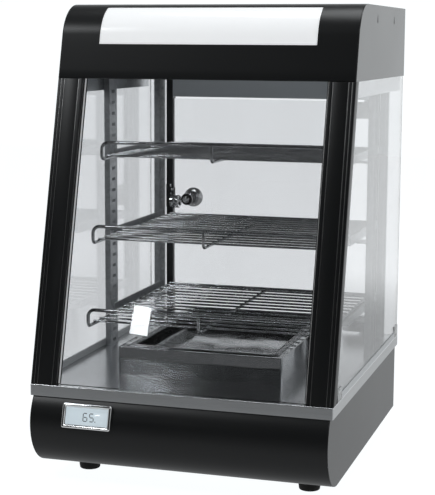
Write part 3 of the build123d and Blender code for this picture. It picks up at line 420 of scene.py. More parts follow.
def drawn_wire():
    """Plated wire and turned trim: fine drawing lines and a thin haze of handling."""
    tree, place, scale = effect("drawn_wire", 700.0)
    fine = noise(tree, place, scale, 3.0)
    haze = spread(tree, noise(tree, place, 45.0, 4.0), 0.4, 0.7)
    return close(tree, haze, haze, fine)


def moulded_skin():
    """Moulded plastic and rubber: a fine spark-eroded skin and slow flow marks."""
    tree, place, scale = effect("moulded_skin", 1100.0)
    skin = noise(tree, place, scale, 2.0)
    flow = noise(tree, place, 40.0, 3.0, 0.5, 0.8)
    return close(tree, shared(tree, flow, skin, 0.7), flow, skin)


def pane_haze():
    """Glass: almost even, with soft smears left by a cloth."""
    tree, place, scale = effect("pane_haze", 6.0)
    sweep = mapped(tree, place, Scale=(2.0, 2.0, 0.5))
    smear = spread(tree, noise(tree, sweep, scale, 5.0, 0.6, 0.5), 0.42, 0.78)
    return close(tree, smear, smear, smear)


# The Mix node's sockets for colours, by number, because its other kinds share their names
COLOUR_MIX, COLOUR_MIX_RESULT = (0, 6, 7), 2


def surface(name, group, colours, roughness, relief, scale=None, turn=None, **fixed):
    """A Principled material: the group's Tone blends two colours, its Wear drives roughness
    between two values and its Height makes relief of a depth in mm. fixed are plain sockets."""
    material = bpy.data.materials.new(name)
    material.use_nodes = True
    tree = material.node_tree
    shader = tree.nodes["Principled BSDF"]
    place = add(tree, "ShaderNodeTexCoord").outputs["Object"]
    if turn:
        place = mapped(tree, place, Rotation=turn)
    made = add(tree, "ShaderNodeGroup", {"node_tree": group}, Place=place)
    if scale:
        made.inputs["Scale"].default_value = scale
    blend = add(tree, "ShaderNodeMix", {"data_type": "RGBA"})
    factor, first, second = (blend.inputs[number] for number in COLOUR_MIX)
    tree.links.new(made.outputs["Tone"], factor)
    first.default_value, second.default_value = (*colours[0], 1.0), (*colours[1], 1.0)
    tree.links.new(blend.outputs[COLOUR_MIX_RESULT], shader.inputs["Base Color"])
    rough = spread(tree, made.outputs["Wear"], 0.0, 1.0, *roughness)
    tree.links.new(rough, shader.inputs["Roughness"])
    if relief:
        bump = add(
            tree, "ShaderNodeBump", Strength=1.0, Distance=relief * MM,
            Height=made.outputs["Height"],
        )
        tree.links.new(bump.outputs[0], shader.inputs["Normal"])
    for key, value in fixed.items():
        shader.inputs[key.replace("_", " ")].default_value = value


def either(tree, share, first, second):
    """Gives a material's surface two shaders, of which the second counts by a share."""
    mix = tree.nodes.new("ShaderNodeMixShader")
    for target, value in zip(mix.inputs, (share, first, second)):
        tree.links.new(value, target)
    tree.links.new(mix.outputs[0], tree.nodes["Material Output"].inputs["Surface"])


def grey(value, warm=0.0):
    """A near-neutral colour; warm moves it from blue to red by a small share."""
    return (value * (1 + warm), value, value * (1 - warm))


for plain in list(bpy.data.materials):
    bpy.data.materials.remove(plain)

coat, brush, rolled, zinc = coat_grain(), brushed_lines(), rolled_sheet(), zinc_spangle()
wire, mould, haze = drawn_wire(), moulded_skin(), pane_haze()
UPRIGHT = (0.0, pi / 2, 0.0)
WHITE = (1.0, 1.0, 1.0, 1.0)

# Paints
surface("black_paint", coat, (grey(0.0065, -0.06), grey(0.0095, -0.05)), (0.30, 0.36), 0.004,
        Specular_IOR_Level=0.32)
# The panels that take this are the same black paint as the front; this copy's lighter colour is
# painted sheen for how they catch the room's light, and it is glossier too
surface("charcoal_paint", coat, (grey(0.012, -0.06), grey(0.018, -0.05)), (0.20, 0.28), 0.005,
        Specular_IOR_Level=0.50)

# Sheet metal and extrusions
surface("galvanised_steel", zinc, (grey(0.28, -0.02), grey(0.42, -0.02)), (0.38, 0.52), 0.01,
        Metallic=1.0)
surface("brushed_steel", brush, (grey(0.50, -0.02), grey(0.70, -0.015)), (0.16, 0.28), 0.008,
        Metallic=1.0, Anisotropic=0.4)
surface("post_steel", brush, (grey(0.045, -0.03), grey(0.09, -0.03)), (0.24, 0.34), 0.008,
        turn=UPRIGHT, Metallic=1.0)
surface("upright_steel", zinc, (grey(0.32, -0.03), grey(0.50, -0.03)), (0.38, 0.52), 0.008,
        scale=220.0, Metallic=1.0)
surface("rail_satin", brush, (grey(0.62, -0.04), grey(0.76, -0.04)), (0.40, 0.52), 0.006,
        Metallic=0.25)
surface("channel_satin", brush, (grey(0.56, -0.02), grey(0.68, -0.02)), (0.34, 0.46), 0.006,
        Metallic=0.3)
surface("mirror_steel", rolled, (grey(0.52, -0.02), grey(0.62, -0.01)), (0.05, 0.14), 0.6,
        Metallic=1.0)
# Painted shade: a darker copy of the mirror steel for the water pan, so that it shows dark instead
# of mirroring the bright room
surface("pan_steel", rolled, (grey(0.20, -0.02), grey(0.30, -0.02)), (0.08, 0.20), 0.8,
        Metallic=1.0)
surface("strike_steel", brush, (grey(0.48), grey(0.60)), (0.20, 0.30), 0.004, Metallic=1.0)
surface("rib_light", brush, (grey(0.22), grey(0.34)), (0.28, 0.38), 0.004, turn=UPRIGHT,
        Metallic=1.0)

# Plated wire, trim and small fittings
surface("chrome_wire", wire, (grey(0.44, -0.02), grey(0.56, -0.01)), (0.06, 0.16), 0.004,
        Metallic=1.0)
surface("chrome_trim", wire, (grey(0.84, -0.005), grey(0.92)), (0.04, 0.12), 0.002, Metallic=1.0)
# Painted shade: a much darker copy of the chrome trim for the ball knob, for the dark ring it
# shows
surface("ball_chrome", wire, (grey(0.34, -0.01), grey(0.42)), (0.03, 0.09), 0.002, Metallic=1.0)
surface("screw_steel", wire, (grey(0.55), grey(0.66)), (0.16, 0.30), 0.006, Metallic=1.0)
surface("bulb_copper", wire, ((0.62, 0.28, 0.16), (0.72, 0.36, 0.22)), (0.18, 0.34), 0.006,
        Metallic=1.0)
surface("element_metal", coat, (grey(0.16, 0.03), grey(0.26, 0.04)), (0.36, 0.52), 0.02,
        Metallic=1.0)

# Panes, sign and display
surface("clear_glass", haze, ((0.86, 0.862, 0.87), (0.84, 0.842, 0.85)), (0.0, 0.035), 0.0,
        Transmission_Weight=1.0, IOR=1.46)
surface("clear_plastic", haze, ((0.90, 0.91, 0.91), (0.86, 0.87, 0.87)), (0.03, 0.12), 0.0,
        scale=30.0, Transmission_Weight=1.0, IOR=1.49)
# Painted highlight: a white strip that glows though it is no lamp, standing for the bright ground
# edge of the panes
surface("pane_edge", mould, (grey(0.80), grey(0.88)), (0.22, 0.32), 0.002,
        Emission_Color=WHITE, Emission_Strength=0.30)
surface("sign_acrylic", mould, ((0.84, 0.845, 0.855), (0.88, 0.885, 0.89)), (0.12, 0.20), 0.002,
        scale=500.0, Emission_Color=WHITE, Emission_Strength=0.32, Specular_IOR_Level=0.45)
surface("lamp_white", mould, ((0.86, 0.87, 0.86), (0.90, 0.91, 0.90)), (0.12, 0.22), 0.0,
        Emission_Color=(1.0, 0.98, 0.94, 1.0), Emission_Strength=0.6)
surface("display_glass", mould, ((0.62, 0.70, 0.74), (0.68, 0.76, 0.80)), (0.10, 0.18), 0.0,
        scale=300.0, Coat_Weight=0.6, Coat_Roughness=0.04,
        Emission_Color=(0.80, 0.92, 1.0, 1.0), Emission_Strength=0.28)

# Plastic, rubber and print
surface("white_plastic", mould, ((0.62, 0.62, 0.60), (0.70, 0.70, 0.68)), (0.30, 0.42), 0.006)
surface("black_plastic", mould, (grey(0.010), grey(0.017)), (0.34, 0.48), 0.008)
surface("rocker_red", mould, ((0.46, 0.018, 0.014), (0.58, 0.030, 0.020)), (0.18, 0.28), 0.003)
surface("rocker_green", mould, ((0.02, 0.30, 0.07), (0.03, 0.40, 0.10)), (0.18, 0.28), 0.003)
surface("foot_rubber", mould, (grey(0.009), grey(0.016)), (0.55, 0.75), 0.02,
        Specular_IOR_Level=0.3)
surface("digit_ink", mould, (grey(0.12, -0.1), grey(0.16, -0.1)), (0.30, 0.40), 0.0)
surface("print_white", mould, (grey(0.55), grey(0.65)), (0.35, 0.45), 0.0)

# Lamps and bounced light pass straight through the glass, so that what it shuts in is lit
for name in ("clear_glass", "clear_plastic"):
    tree = bpy.data.materials[name].node_tree
    ray = tree.nodes.new("ShaderNodeLightPath").outputs
    passing = maths(tree, "MAXIMUM", ray["Is Shadow Ray"], ray["Is Diffuse Ray"])
    clear = add(tree, "ShaderNodeBsdfTransparent", Color=(0.93, 0.94, 0.94, 1.0))
    either(tree, passing, tree.nodes["Principled BSDF"].outputs[0], clear.outputs[0])

for entry in frame["record"]["subparts"]:
    mesh = frame["nodes"][entry["node"]].data
    mesh.materials.clear()
    mesh.materials.append(bpy.data.materials[entry["material_slot"]])

# Base: the front skin from under the nose, round it and up behind the deck's lip, with a window
# for the thermometer that its frame covers
LIP_GAP, LIP_REACH = 0.3 * MM, 3 * MM
WINDOW_SIDE, WINDOW_LOW, WINDOW_HIGH = 5 * MM, 6 * MM, 5 * MM
skin_y, skin_z = Y_DECK + SHEET + LIP_GAP, Z_DECK - SHEET
sweep = np.linspace(-pi / 2, pi - np.arccos((skin_y - NOSE_Y) / NOSE_RADIUS), 45)
skin_profile = np.concatenate([
    np.column_stack([NOSE_Y - NOSE_RADIUS * np.cos(sweep), NOSE_Z + NOSE_RADIUS * np.sin(sweep)]),
    [[skin_y, skin_z - LIP_REACH], [skin_y, skin_z]],
])
gauge_low, gauge_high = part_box("thermometer_bezel")
skin_columns = [
    skin_low.x, gauge_low.x + WINDOW_SIDE, gauge_high.x - WINDOW_SIDE, skin_high.x,
]
above_low = skin_profile[:, 1] > gauge_low.z + WINDOW_LOW
below_high = skin_profile[:, 1] < gauge_high.z - WINDOW_HIGH
window = np.flatnonzero(above_low & below_high)
front_skin = put(
    "front_skin", *sheet_grid(skin_profile, skin_columns, (window[0], window[-1], 1, 2)),
    "black_paint", stands_for="base_front_skin",
)
walled(front_skin, 1.2, 0.3, (0, -1, 0))
# The side and rear panels take the lighter copy of the black paint, whose lighter colour is
# painted sheen
for node, width in (
    ("base_side_left", 0.4), ("base_side_right", 0.4), ("base_rear_panel", 0.3),
    ("canopy_rear_panel", 0.3), ("canopy_side_left", 0.4), ("canopy_side_right", 0.4),
):
    softened(node, "charcoal_paint", width)

# Feet: turned rubber with a rounded tread edge and a recess for the screw
FOOT_RADIUS = 15.0
foot_low, foot_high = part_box("feet")
foot_profile = arc_profile(
    [(6, 2.2), (6, 4.7), (0, 4.7), (0, 13.1), (14, FOOT_RADIUS), (20, FOOT_RADIUS), (20, 2.2)],
    [0.3, 0.8, 1.6, 0.5, 0.4],
)
feet = [
    lathe(foot_profile, (side * (foot_high.x - FOOT_RADIUS * MM), y, 0.0), (0, 0, 1), 40)
    for side in (-1, 1)
    for y in (foot_low.y + FOOT_RADIUS * MM, foot_high.y - FOOT_RADIUS * MM)
]
put("rubber_feet", *gather(feet), "foot_rubber", stands_for="feet")

# Thermometer, laid out in its own plane: u along X, v up the tilted face, w out of it
GAUGE_DROP = 34.5 * MM
GAUGE_WIDTH, GAUGE_HEIGHT, GAUGE_CORNER, LEAST_CORNER = 65.0, 31.0, 2.6, 0.8
tilt = np.arcsin((Z_DECK - GAUGE_DROP - NOSE_Z) / NOSE_RADIUS)
face_out = np.array([0.0, -np.cos(tilt), np.sin(tilt)])
face_up = np.array([0.0, np.sin(tilt), np.cos(tilt)])
gauge_x = (gauge_low.x + gauge_high.x) / 2
gauge_origin = np.array([gauge_x, NOSE_Y, NOSE_Z]) + face_out * NOSE_RADIUS


def on_gauge(points, w):
    """Points (u, v) of the thermometer's plane at height w above the skin."""
    points = np.asarray(points, float)
    return gauge_origin + points[:, :1] * [1.0, 0.0, 0.0] + points[:, 1:] * face_up + w * face_out


# The frame: rounded rectangles set in step by step as they rise, joined round into a ring
rings = []
for inset, w in (
    (0.0, -5.0), (0.0, 3.2), (0.15, 3.8), (0.6, 4.45), (1.2, 4.85), (2.0, 5.0), (2.9, 4.9),
    (3.4, 4.45), (3.7, 3.4), (4.3, 3.1), (4.6, 2.9), (4.6, -5.0),
):
    corner = max(GAUGE_CORNER - inset, LEAST_CORNER)
    size = mm((GAUGE_WIDTH - 2 * inset, GAUGE_HEIGHT - 2 * inset, corner))
    rings.append(on_gauge(rounded_box(*size), w * MM))
put(
    "thermometer_frame", np.concatenate(rings), grid_quads(len(rings), len(rings[0]), True, True),
    "chrome_trim", stands_for="thermometer_bezel", crease=50.0,
)
FACE_SIZE, FACE_LEVELS = mm((55.7, 21.7, 0.6)), mm((1.5, 3.1, 0.2))
face = bar(rounded_box(*FACE_SIZE, 3), *FACE_LEVELS, on_gauge)
put("thermometer_face", *face, "display_glass", stands_for="thermometer_display")

# Figures on the display: seven-segment strokes, each a thin six-sided bar, and a point
SEGMENTS = {"5": "afgcd", "6": "afgedc"}
STROKES = {
    "a": (0.0, 1.0, 1), "g": (0.0, 0.0, 1), "d": (0.0, -1.0, 1),
    "f": (-0.5, 0.5, 0), "b": (0.5, 0.5, 0), "e": (-0.5, -0.5, 0), "c": (0.5, -0.5, 0),
}
DIGIT_PITCH, DIGIT_WIDTH, DIGIT_HALF, FIRST_U, FIRST_V = 8.4, 5.2, 4.9, -1.6, -0.6
STROKE_LENGTH, STROKE_THICK = mm((4.5, 1.15))
POINT_SIZE, POINT_AT = mm((1.2, 1.2, 0.3)), mm((11.9, -5.4))
INK = mm((3.05, 3.16, 0.02))


def stroke(centre, length, thick, flat):
    """A six-sided stroke: a bar with pointed ends, along u when flat and along v when not."""
    a, b = length / 2, thick / 2
    points = np.array([(-a, 0), (-a + b, -b), (a - b, -b), (a, 0), (a - b, b), (-a + b, b)])
    return (points if flat else points[:, ::-1]) + centre


digits = []
for index, figure in enumerate("65"):
    for name in SEGMENTS[figure]:
        du, dv, flat = STROKES[name]
        centre = mm((index * DIGIT_PITCH + FIRST_U + du * DIGIT_WIDTH, dv * DIGIT_HALF + FIRST_V))
        outline = stroke(centre, STROKE_LENGTH, STROKE_THICK, flat)
        digits.append(bar(outline, *INK, on_gauge))
digits.append(bar(rounded_box(*POINT_SIZE, 2) + POINT_AT, *INK, on_gauge))
put("thermometer_figures", *gather(digits), "digit_ink", slot="display_glass")

# Front pillars, leaning back: the extruded outline with its grooves, the light ribs in them, and
# along the inner edge a white strip that glows, a painted highlight for the pane's bright ground
# edge, and the black seal beside it. Places in mm, x from the cabinet's middle and y from the
# pillar's front.
PILLAR_Y = Y_DECK + 2.0 * MM
PILLAR_OUTLINE = [
    (161.0, 0.0), (166.0, 0.0), (166.0, 0.9), (167.0, 0.9), (167.0, 0.0), (185.5, 0.0),
    (185.5, 0.9), (186.5, 0.9), (186.5, 0.0), (190.0, 0.0), (190.0, 0.9), (191.0, 0.9),
    (191.0, 0.0), (195.0, 0.0), (195.0, 16.5), (194.0, 16.5), (194.0, 11.3), (189.76, 11.3),
    (189.76, 16.5), (161.0, 16.5), (161.0, 9.25), (165.2, 9.25), (165.2, 4.88), (161.0, 4.88),
]
PILLAR_RADII = [0.5] + [0.12] * 12 + [0.9, 0.4] + [0.12] * 4 + [0.5] + [0.15] * 4
RIBS_AT = ((166.5, 0.62), (186.0, 0.62), (190.5, 0.62))
GLOW_STRIP_AT, SEAL_AT = (160.0, 10.4), (158.3, 10.6)


def leaning(points, rise):
    """Points (x, y) at the deck carried up the lean by a rise."""
    height = np.full(len(points), Z_DECK + rise)
    return np.column_stack([points[:, 0], points[:, 1] + rise * tan(LEAN), height])


def pillar_trim(at, side, size, steps, short, rim):
    """A strip along a pillar: a box of (width, depth, corner radius), short of both ends; mm."""
    outline = rounded_box(*mm(size), steps) + [side * at[0] * MM, PILLAR_Y + at[1] * MM]
    return bar(outline, short * MM, BAY - short * MM, rim * MM, leaning)


for side, end in ((-1, "left"), (1, "right")):
    outline = mm(PILLAR_OUTLINE) * [side, 1] + [0.0, PILLAR_Y]
    outline = rounded_path(outline, mm(PILLAR_RADII), closed=True, steps=3)
    put(
        f"pillar_{end}", *bar(outline, 0.0, BAY, 0.15 * MM, leaning), "black_paint",
        stands_for=f"front_pillar_{end}",
    )
    ribs = [pillar_trim(at, side, (0.92, 1.0, 0.3), 3, 0.3, 0.1) for at in RIBS_AT]
    put(f"pillar_ribs_{end}", *gather(ribs), "rib_light", slot="chrome_trim")
    glow_strip = pillar_trim(GLOW_STRIP_AT, side, (2.2, 2.0, 0.98), 4, 0.4, 0.2)
    put(f"painted_glow_strip_{end}", *glow_strip, "pane_edge", slot="white_plastic")
    seal = pillar_trim(SEAL_AT, side, (0.9, 2.4, 0.3), 3, 0.4, 0.2)
    put(f"pane_seal_{end}", *seal, "black_plastic")
softened("glazing_channels", "channel_satin", 0.25)
softened("glass_clips", "clear_plastic", 0.25)

# Canopy: the shell's side profile, bent once under the header, round the top and over to the
# back, with the window of the sign from the header to part way round
SIGN_LOW = Z_BAY + 44.0 * MM
SIGN_BACK = BACK - 297.0 * MM
SIGN_HALF = HALF - 52.0 * MM
SIGN_LAP = 8 * MM
SIGN_STEPS, TOP_STEPS = 18, 10
SIGN_SHORT = 0.2  # the hidden rear edge of the sign ends this angle before the level top
UNDER_LIP = 12 * MM
BACK_LAP = 1.2 * MM
ARC_Z = Z_TOP - CANOPY_RADIUS
arc_start_z = ARC_Z + CANOPY_RADIUS * sin(LEAN)
arc_start_y = Y_HEADER + (arc_start_z - Z_BAY) * tan(LEAN)
ARC_Y = arc_start_y + CANOPY_RADIUS * cos(LEAN)
sign_turn = np.arccos((ARC_Y - SIGN_BACK) / CANOPY_RADIUS)


def canopy_curve(first, last, steps, inset=0.0):
    """Points of the canopy's round edge between two angles, counted up from the front."""
    angle = np.linspace(first, last, steps)
    radius = CANOPY_RADIUS - inset
    return np.column_stack([ARC_Y - radius * np.cos(angle), ARC_Z + radius * np.sin(angle)])


def on_header(z, inset=0.0):
    """The header's leaning line at a height, moved inwards square to it."""
    return [Y_HEADER + (z - Z_BAY) * tan(LEAN) + inset / cos(LEAN), z]


under = rounded_path(
    [(Y_HEADER + UNDER_LIP, Z_BAY), (Y_HEADER, Z_BAY), on_header(Z_BAY + UNDER_LIP)],
    [0.0, 1.6 * MM, 0.0], steps=5,
)
shell_profile = np.concatenate([
    under, [on_header(SIGN_LOW)], canopy_curve(LEAN, sign_turn, SIGN_STEPS),
    canopy_curve(sign_turn, pi / 2, TOP_STEPS)[1:],
    [[(ARC_Y + BACK) / 2, Z_TOP], [BACK - BACK_LAP, Z_TOP]],
])
shell_half = HALF - SHEET
opening = (len(under), len(under) + SIGN_STEPS, 1, 2)
canopy_skin = put(
    "canopy_skin",
    *sheet_grid(shell_profile, [-shell_half, -SIGN_HALF, SIGN_HALF, shell_half], opening),
    "black_paint", stands_for="canopy_shell",
)
walled(canopy_skin, 1.2, 0.3, (0, -1, 1))
sign_profile = np.concatenate([
    [on_header(SIGN_LOW - SIGN_LAP, SHEET), on_header(SIGN_LOW, SHEET)],
    canopy_curve(LEAN, sign_turn, SIGN_STEPS, SHEET),
    canopy_curve(sign_turn, pi / 2 - SIGN_SHORT, 4, SHEET)[1:],
])
sign_columns = np.linspace(-SIGN_HALF - SIGN_LAP, SIGN_HALF + SIGN_LAP, 5)
sign_face = put(
    "sign_face", *sheet_grid(sign_profile, sign_columns), "sign_acrylic", stands_for="sign_panel",
)
walled(sign_face, 3.0, 0.2, (0, -1, 1))

# Lamp behind the sign: a glass tube with end caps, all one piece in one white material
lamp_low, lamp_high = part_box("lamp_tube")
lamp_centre = (0.0, *middle(lamp_low, lamp_high)[1:])
end = lamp_high.x / MM
lamp_profile = arc_profile(
    [(-end, 1), (-end, 7.8), (12 - end, 7.8), (13 - end, 7.4), (end - 13, 7.4), (end - 12, 7.8),
     (end, 7.8), (end, 1)],
    [0.8, 0.3, 0.3, 0.3, 0.3, 0.8],
)
put("lamp_glass", *lathe(lamp_profile, lamp_centre, (1, 0, 0), 28), "lamp_white",
    stands_for="lamp_tube")

# Wire shelves: a closed frame rod that rises into a front rail, a middle rod, and cross wires at a
# height in mm over the deck, from the back forwards over a length in mm
SHELF_HALF = HALF - 44.0 * MM
SHELF_REAR = BACK - 26.0 * MM
WIRE_PITCH = 22.0 * MM
FRAME_ROD, MIDDLE_ROD, CROSS_WIRE = mm((2.3, 2.1, 1.5))
WIRE_HALF = SHELF_HALF + 0.3 * MM
BEND, RAIL_BEND = 6 * MM, 9 * MM
ROD_DROP, RAIL_RISE = 3.0 * MM, 19.0 * MM
for node, height, length in (
    ("shelf_bottom", 62.5, 355.0), ("shelf_middle", 169.5, 336.0), ("shelf_top", 276.5, 303.0),
):
    wire_z = Z_DECK + height * MM
    rod_z, rail_z = wire_z - ROD_DROP, wire_z + RAIL_RISE
    front_y = BACK - length * MM
    side_run = [(SHELF_REAR, rod_z), (front_y, rod_z), (front_y, rail_z)]
    left = [(-SHELF_HALF, y, z) for y, z in side_run]
    right = [(SHELF_HALF, y, z) for y, z in side_run[::-1]]
    bends = [BEND, BEND, RAIL_BEND, RAIL_BEND, BEND, BEND]
    loop = rounded_path(left + right, bends, closed=True, steps=7)
    spine = rounded_path([(0, y, z) for y, z in side_run], [0, BEND, 0], steps=7)
    wires = [tube(loop, FRAME_ROD, 14, closed=True), tube(spine, MIDDLE_ROD, 12)]
    gaps = round((SHELF_REAR - front_y) / WIRE_PITCH)
    for y in np.linspace(SHELF_REAR, front_y, gaps + 1)[:-1]:
        wires.append(tube([(-WIRE_HALF, y, wire_z), (WIRE_HALF, y, wire_z)], CROSS_WIRE, 12))
    put(f"{node}_wires", *gather(wires), "chrome_wire", stands_for=node, crease=60.0)

# Water pan: rounded rectangles, each (inset, drop, corner radius) in mm, from under the rolled
# rim, over it and down the walls to the floor
pan_low, pan_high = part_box("water_pan")
PAN_CORNER = 8.0
FLOOR_INSET, FLOOR_CORNER, FLOOR_DROP = 30, 12, 21.4
rings = []
for inset, drop, corner in (
    (0.0, 1.6, PAN_CORNER - 0.2), (0.25, 0.5, PAN_CORNER), (0.9, 0.0, PAN_CORNER - 0.05),
    (8.6, 0.0, PAN_CORNER - 0.05), (10.2, 0.6, PAN_CORNER - 0.3), (10.9, 2.2, PAN_CORNER - 0.6),
    (11.0, 16.5, PAN_CORNER - 0.8), (11.8, 19.2, PAN_CORNER - 1.4), (13.6, 20.7, PAN_CORNER - 2.4),
    (16.4, 21.1, PAN_CORNER - 3.6), (FLOOR_INSET, FLOOR_DROP, FLOOR_CORNER),
):
    width = pan_high.x - pan_low.x - 2 * inset * MM
    length = pan_high.y - pan_low.y - 2 * inset * MM
    outline = rounded_box(width, length, corner * MM, 8) + middle(pan_low, pan_high)[:2]
    rings.append(np.column_stack([outline, np.full(len(outline), pan_high.z - drop * MM)]))
count = len(rings[0])
faces = grid_quads(len(rings), count, wrap_columns=True).tolist()
faces.append(list(range((len(rings) - 1) * count, len(rings) * count)))
# The pan takes the darkened copy of the mirror steel, as painted shade
pan = put("drawn_pan", np.concatenate(rings), faces, "pan_steel", stands_for="water_pan",
          slot="mirror_steel", crease=70.0)
walled(pan, 0.7, 0.15, (0, 0, 1))

# Ball knob on its flange and neck, with the washer and cap of its screw inside the door; mm from
# the pane's back
BALL, NECK, POLE = 15.0, 5.0, 0.02  # the radii, and the angle of the flat that closes the ball
knob_low, knob_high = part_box("door_knob")
knob_x, _, knob_z = middle(knob_low, knob_high)
knob_foot = (knob_x, knob_low.y, knob_z)
ball_at = (knob_high.y - knob_low.y) / MM - BALL
ball_angle = np.linspace(np.arcsin(NECK / BALL), pi - POLE, 22)
neck = arc_profile(
    [(0.0, 2.1), (0.0, 9), (3, 9), (3, NECK), (ball_at - BALL * np.cos(ball_angle[0]), NECK)],
    [0.3, 0.8, 1.0],
)
ball = mm(np.column_stack([ball_at - BALL * np.cos(ball_angle), BALL * np.sin(ball_angle)]))
# The ball takes the darkened copy of the chrome trim, as painted shade
put("ball_knob", *lathe(np.concatenate([neck, ball[1:]]), knob_foot, (0, 1, 0), 48),
    "ball_chrome", stands_for="door_knob", slot="chrome_trim", crease=50.0)
cap = arc_profile(
    [(12, 1.9), (-5, 1.9), (-5, 5.2), (-6.5, 5.2), (-6.5, 3.4), (-9.0, 3.4), (-9.0, 1.2),
     (-7.6, 0.9)],
    [0.0, 0.2, 0.4, 0.2, 0.9, 0.3, 0.0],
)
put("knob_cap", *lathe(cap, knob_foot, (0, 1, 0), 32), "chrome_trim",
    stands_for="door_knob_screw", slot="screw_steel", crease=50.0)

# Magnet barrel on the left post: a turned barrel with a bright end ring, its plate and screws
BARREL_IN, BARREL_FORWARD = 44.5 * MM, 10.3 * MM
PLATE, PLATE_DROP = 1.5 * MM, 10 * MM
catch_low, catch_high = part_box("door_magnet")
strike_low, strike_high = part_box("door_strike")
barrel_from = -HALF + BARREL_IN
barrel_y = strike_low.y - BARREL_FORWARD
barrel_z = middle(strike_low, strike_high)[2]
barrel = arc_profile(
    [(0.0, 1), (0.0, 10), (8.2, 10), (8.5, 9.4), (9.6, 9.4), (9.9, 10), (13.5, 10), (13.5, 6.4),
     (12.9, 6.0), (12.9, 0.6)],
    [0.3, 0.2, 0.1, 0.1, 0.2, 1.4, 0.3, 0.1],
)
put("catch_barrel", *lathe(barrel, (barrel_from, barrel_y, barrel_z), (1, 0, 0), 44),
    "chrome_trim", stands_for="door_magnet", crease=40.0)
post_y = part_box("rear_post_left")[0].y


def on_post(points, out):
    """Points (x, z) on the post's front face, out from it by a distance."""
    return np.column_stack([points[:, 0], np.full(len(points), post_y - out), points[:, 1]])


plate_low = np.array([catch_low.x, barrel_z - PLATE_DROP])
plate_high = np.array([barrel_from + PLATE, catch_high.z])
plate = rounded_box(*(plate_high - plate_low), 1.2 * MM, 4) + (plate_low + plate_high) / 2
put("catch_plate", *bar(plate, 0.0, PLATE, 0.3 * MM, on_post), "post_steel")
head = arc_profile([(0.0, 0.6), (0.0, 1.9), (0.9, 1.9), (1.5, 0.5)], [0.0, 0.3], 4)
heads = [
    lathe(head, (x * MM, post_y - PLATE, barrel_z + z * MM), (0, -1, 0), 20)
    for x, z in ((-152.2, 11.5), (-150.8, 17.5), (-152.6, 23.0))
]
put("catch_screws", *gather(heads), "chrome_trim", slot="screw_steel")

# Screws of the clear corner clips: domed heads with a small recess
HEAD_RADIUS = 3.2
screw_low, screw_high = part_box("clip_screws")
dome = arc_profile(
    [(0.0, HEAD_RADIUS), (0.8, HEAD_RADIUS), (2.0, 1.9), (2.0, 0.9), (1.3, 0.6)],
    [0.2, 0.8, 0.15], 4,
)
heads = [
    lathe(dome, (side * screw_high.x, y, middle(screw_low, screw_high)[2]), (-side, 0, 0), 24)
    for side in (-1, 1)
    for y in (screw_low.y + HEAD_RADIUS * MM, screw_high.y - HEAD_RADIUS * MM)
]
put("clip_screw_heads", *gather(heads), "screw_steel", stands_for="clip_screws")

# Rear: the dial, made of rings (share of the fluted grip, radius, height) in mm from under its
# skirt to its top, and its pointer
AROUND, FLUTES, FLUTE_DEPTH, GRIP = 144, 12, 0.9 * MM, 15 * MM
DIAL_HEIGHT = 15 * MM
dial_low, dial_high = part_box("thermostat_knob")
dial_x, _, dial_z = middle(dial_low, dial_high)
rear_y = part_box("base_rear_panel")[1].y
dial_top = dial_high.y - rear_y


def on_rear(points, out):
    """Points (x seen from behind, z) about the dial's centre, out from the rear panel."""
    level = np.full(len(points), rear_y + out)
    return np.column_stack([dial_x - points[:, 0], level, dial_z + points[:, 1]])


around = np.linspace(0, 2 * pi, AROUND, endpoint=False)
grip = GRIP - FLUTE_DEPTH * np.clip(np.cos(FLUTES * around), 0, 1) ** 0.7
rings = []
for fluted, radius, height in (
    (0, 3.2, 0.0), (0, 18.6, 0.0), (0, 19.0, 0.4), (0, 19.0, 2.6), (0, 18.4, 3.6),
    (0, 16.2, 4.0), (1, 0.0, 4.4), (1, 0.0, 13.4), (1, -1.2, 14.7), (1, -2.2, 15.0),
    (0, 4.0, 14.9),
):
    reach = fluted * grip + radius * MM
    ring = np.column_stack([reach * np.cos(around), reach * np.sin(around)])
    rings.append(on_rear(ring, dial_top - DIAL_HEIGHT + height * MM))
put("dial_knob", np.concatenate(rings), capped(len(rings), AROUND), "black_plastic",
    stands_for="thermostat_knob", crease=40.0)
pointer = rounded_box(*mm((1.5, 11, 0.6)), 3) + mm((0.0, 8.0))
pointer = bar(pointer, dial_top - 0.3 * MM, dial_top + 0.12 * MM, 0.05 * MM, on_rear)
put("dial_pointer", *pointer, "print_white", body=body_of("thermostat_knob"),
    slot="white_plastic")

# The scale: a tick every few degrees, a long one at every figure
TICKS, TICK_TURN, TICKS_PER_FIGURE = 25, 11.25, 4
TICK_FROM, TICK_LONG, TICK_SHORT = mm((21.2, 2.6, 1.5))
FIGURE_OUT, FIGURE_UP, FIGURE_SIZE = mm((27.2, 26.4, 4.2))
ticks = []
for index in range(TICKS):
    angle = radians(index * TICK_TURN)
    length = TICK_SHORT if index % TICKS_PER_FIGURE else TICK_LONG
    tick = rounded_box(0.45 * MM, length, 0.15 * MM, 2) + [0.0, TICK_FROM + length / 2]
    tick = tick @ [[cos(angle), -sin(angle)], [sin(angle), cos(angle)]]
    ticks.append(bar(tick, *mm((-0.02, 0.06, 0.02)), on_rear))
put("dial_scale", *gather(ticks), "print_white", slot="white_plastic")


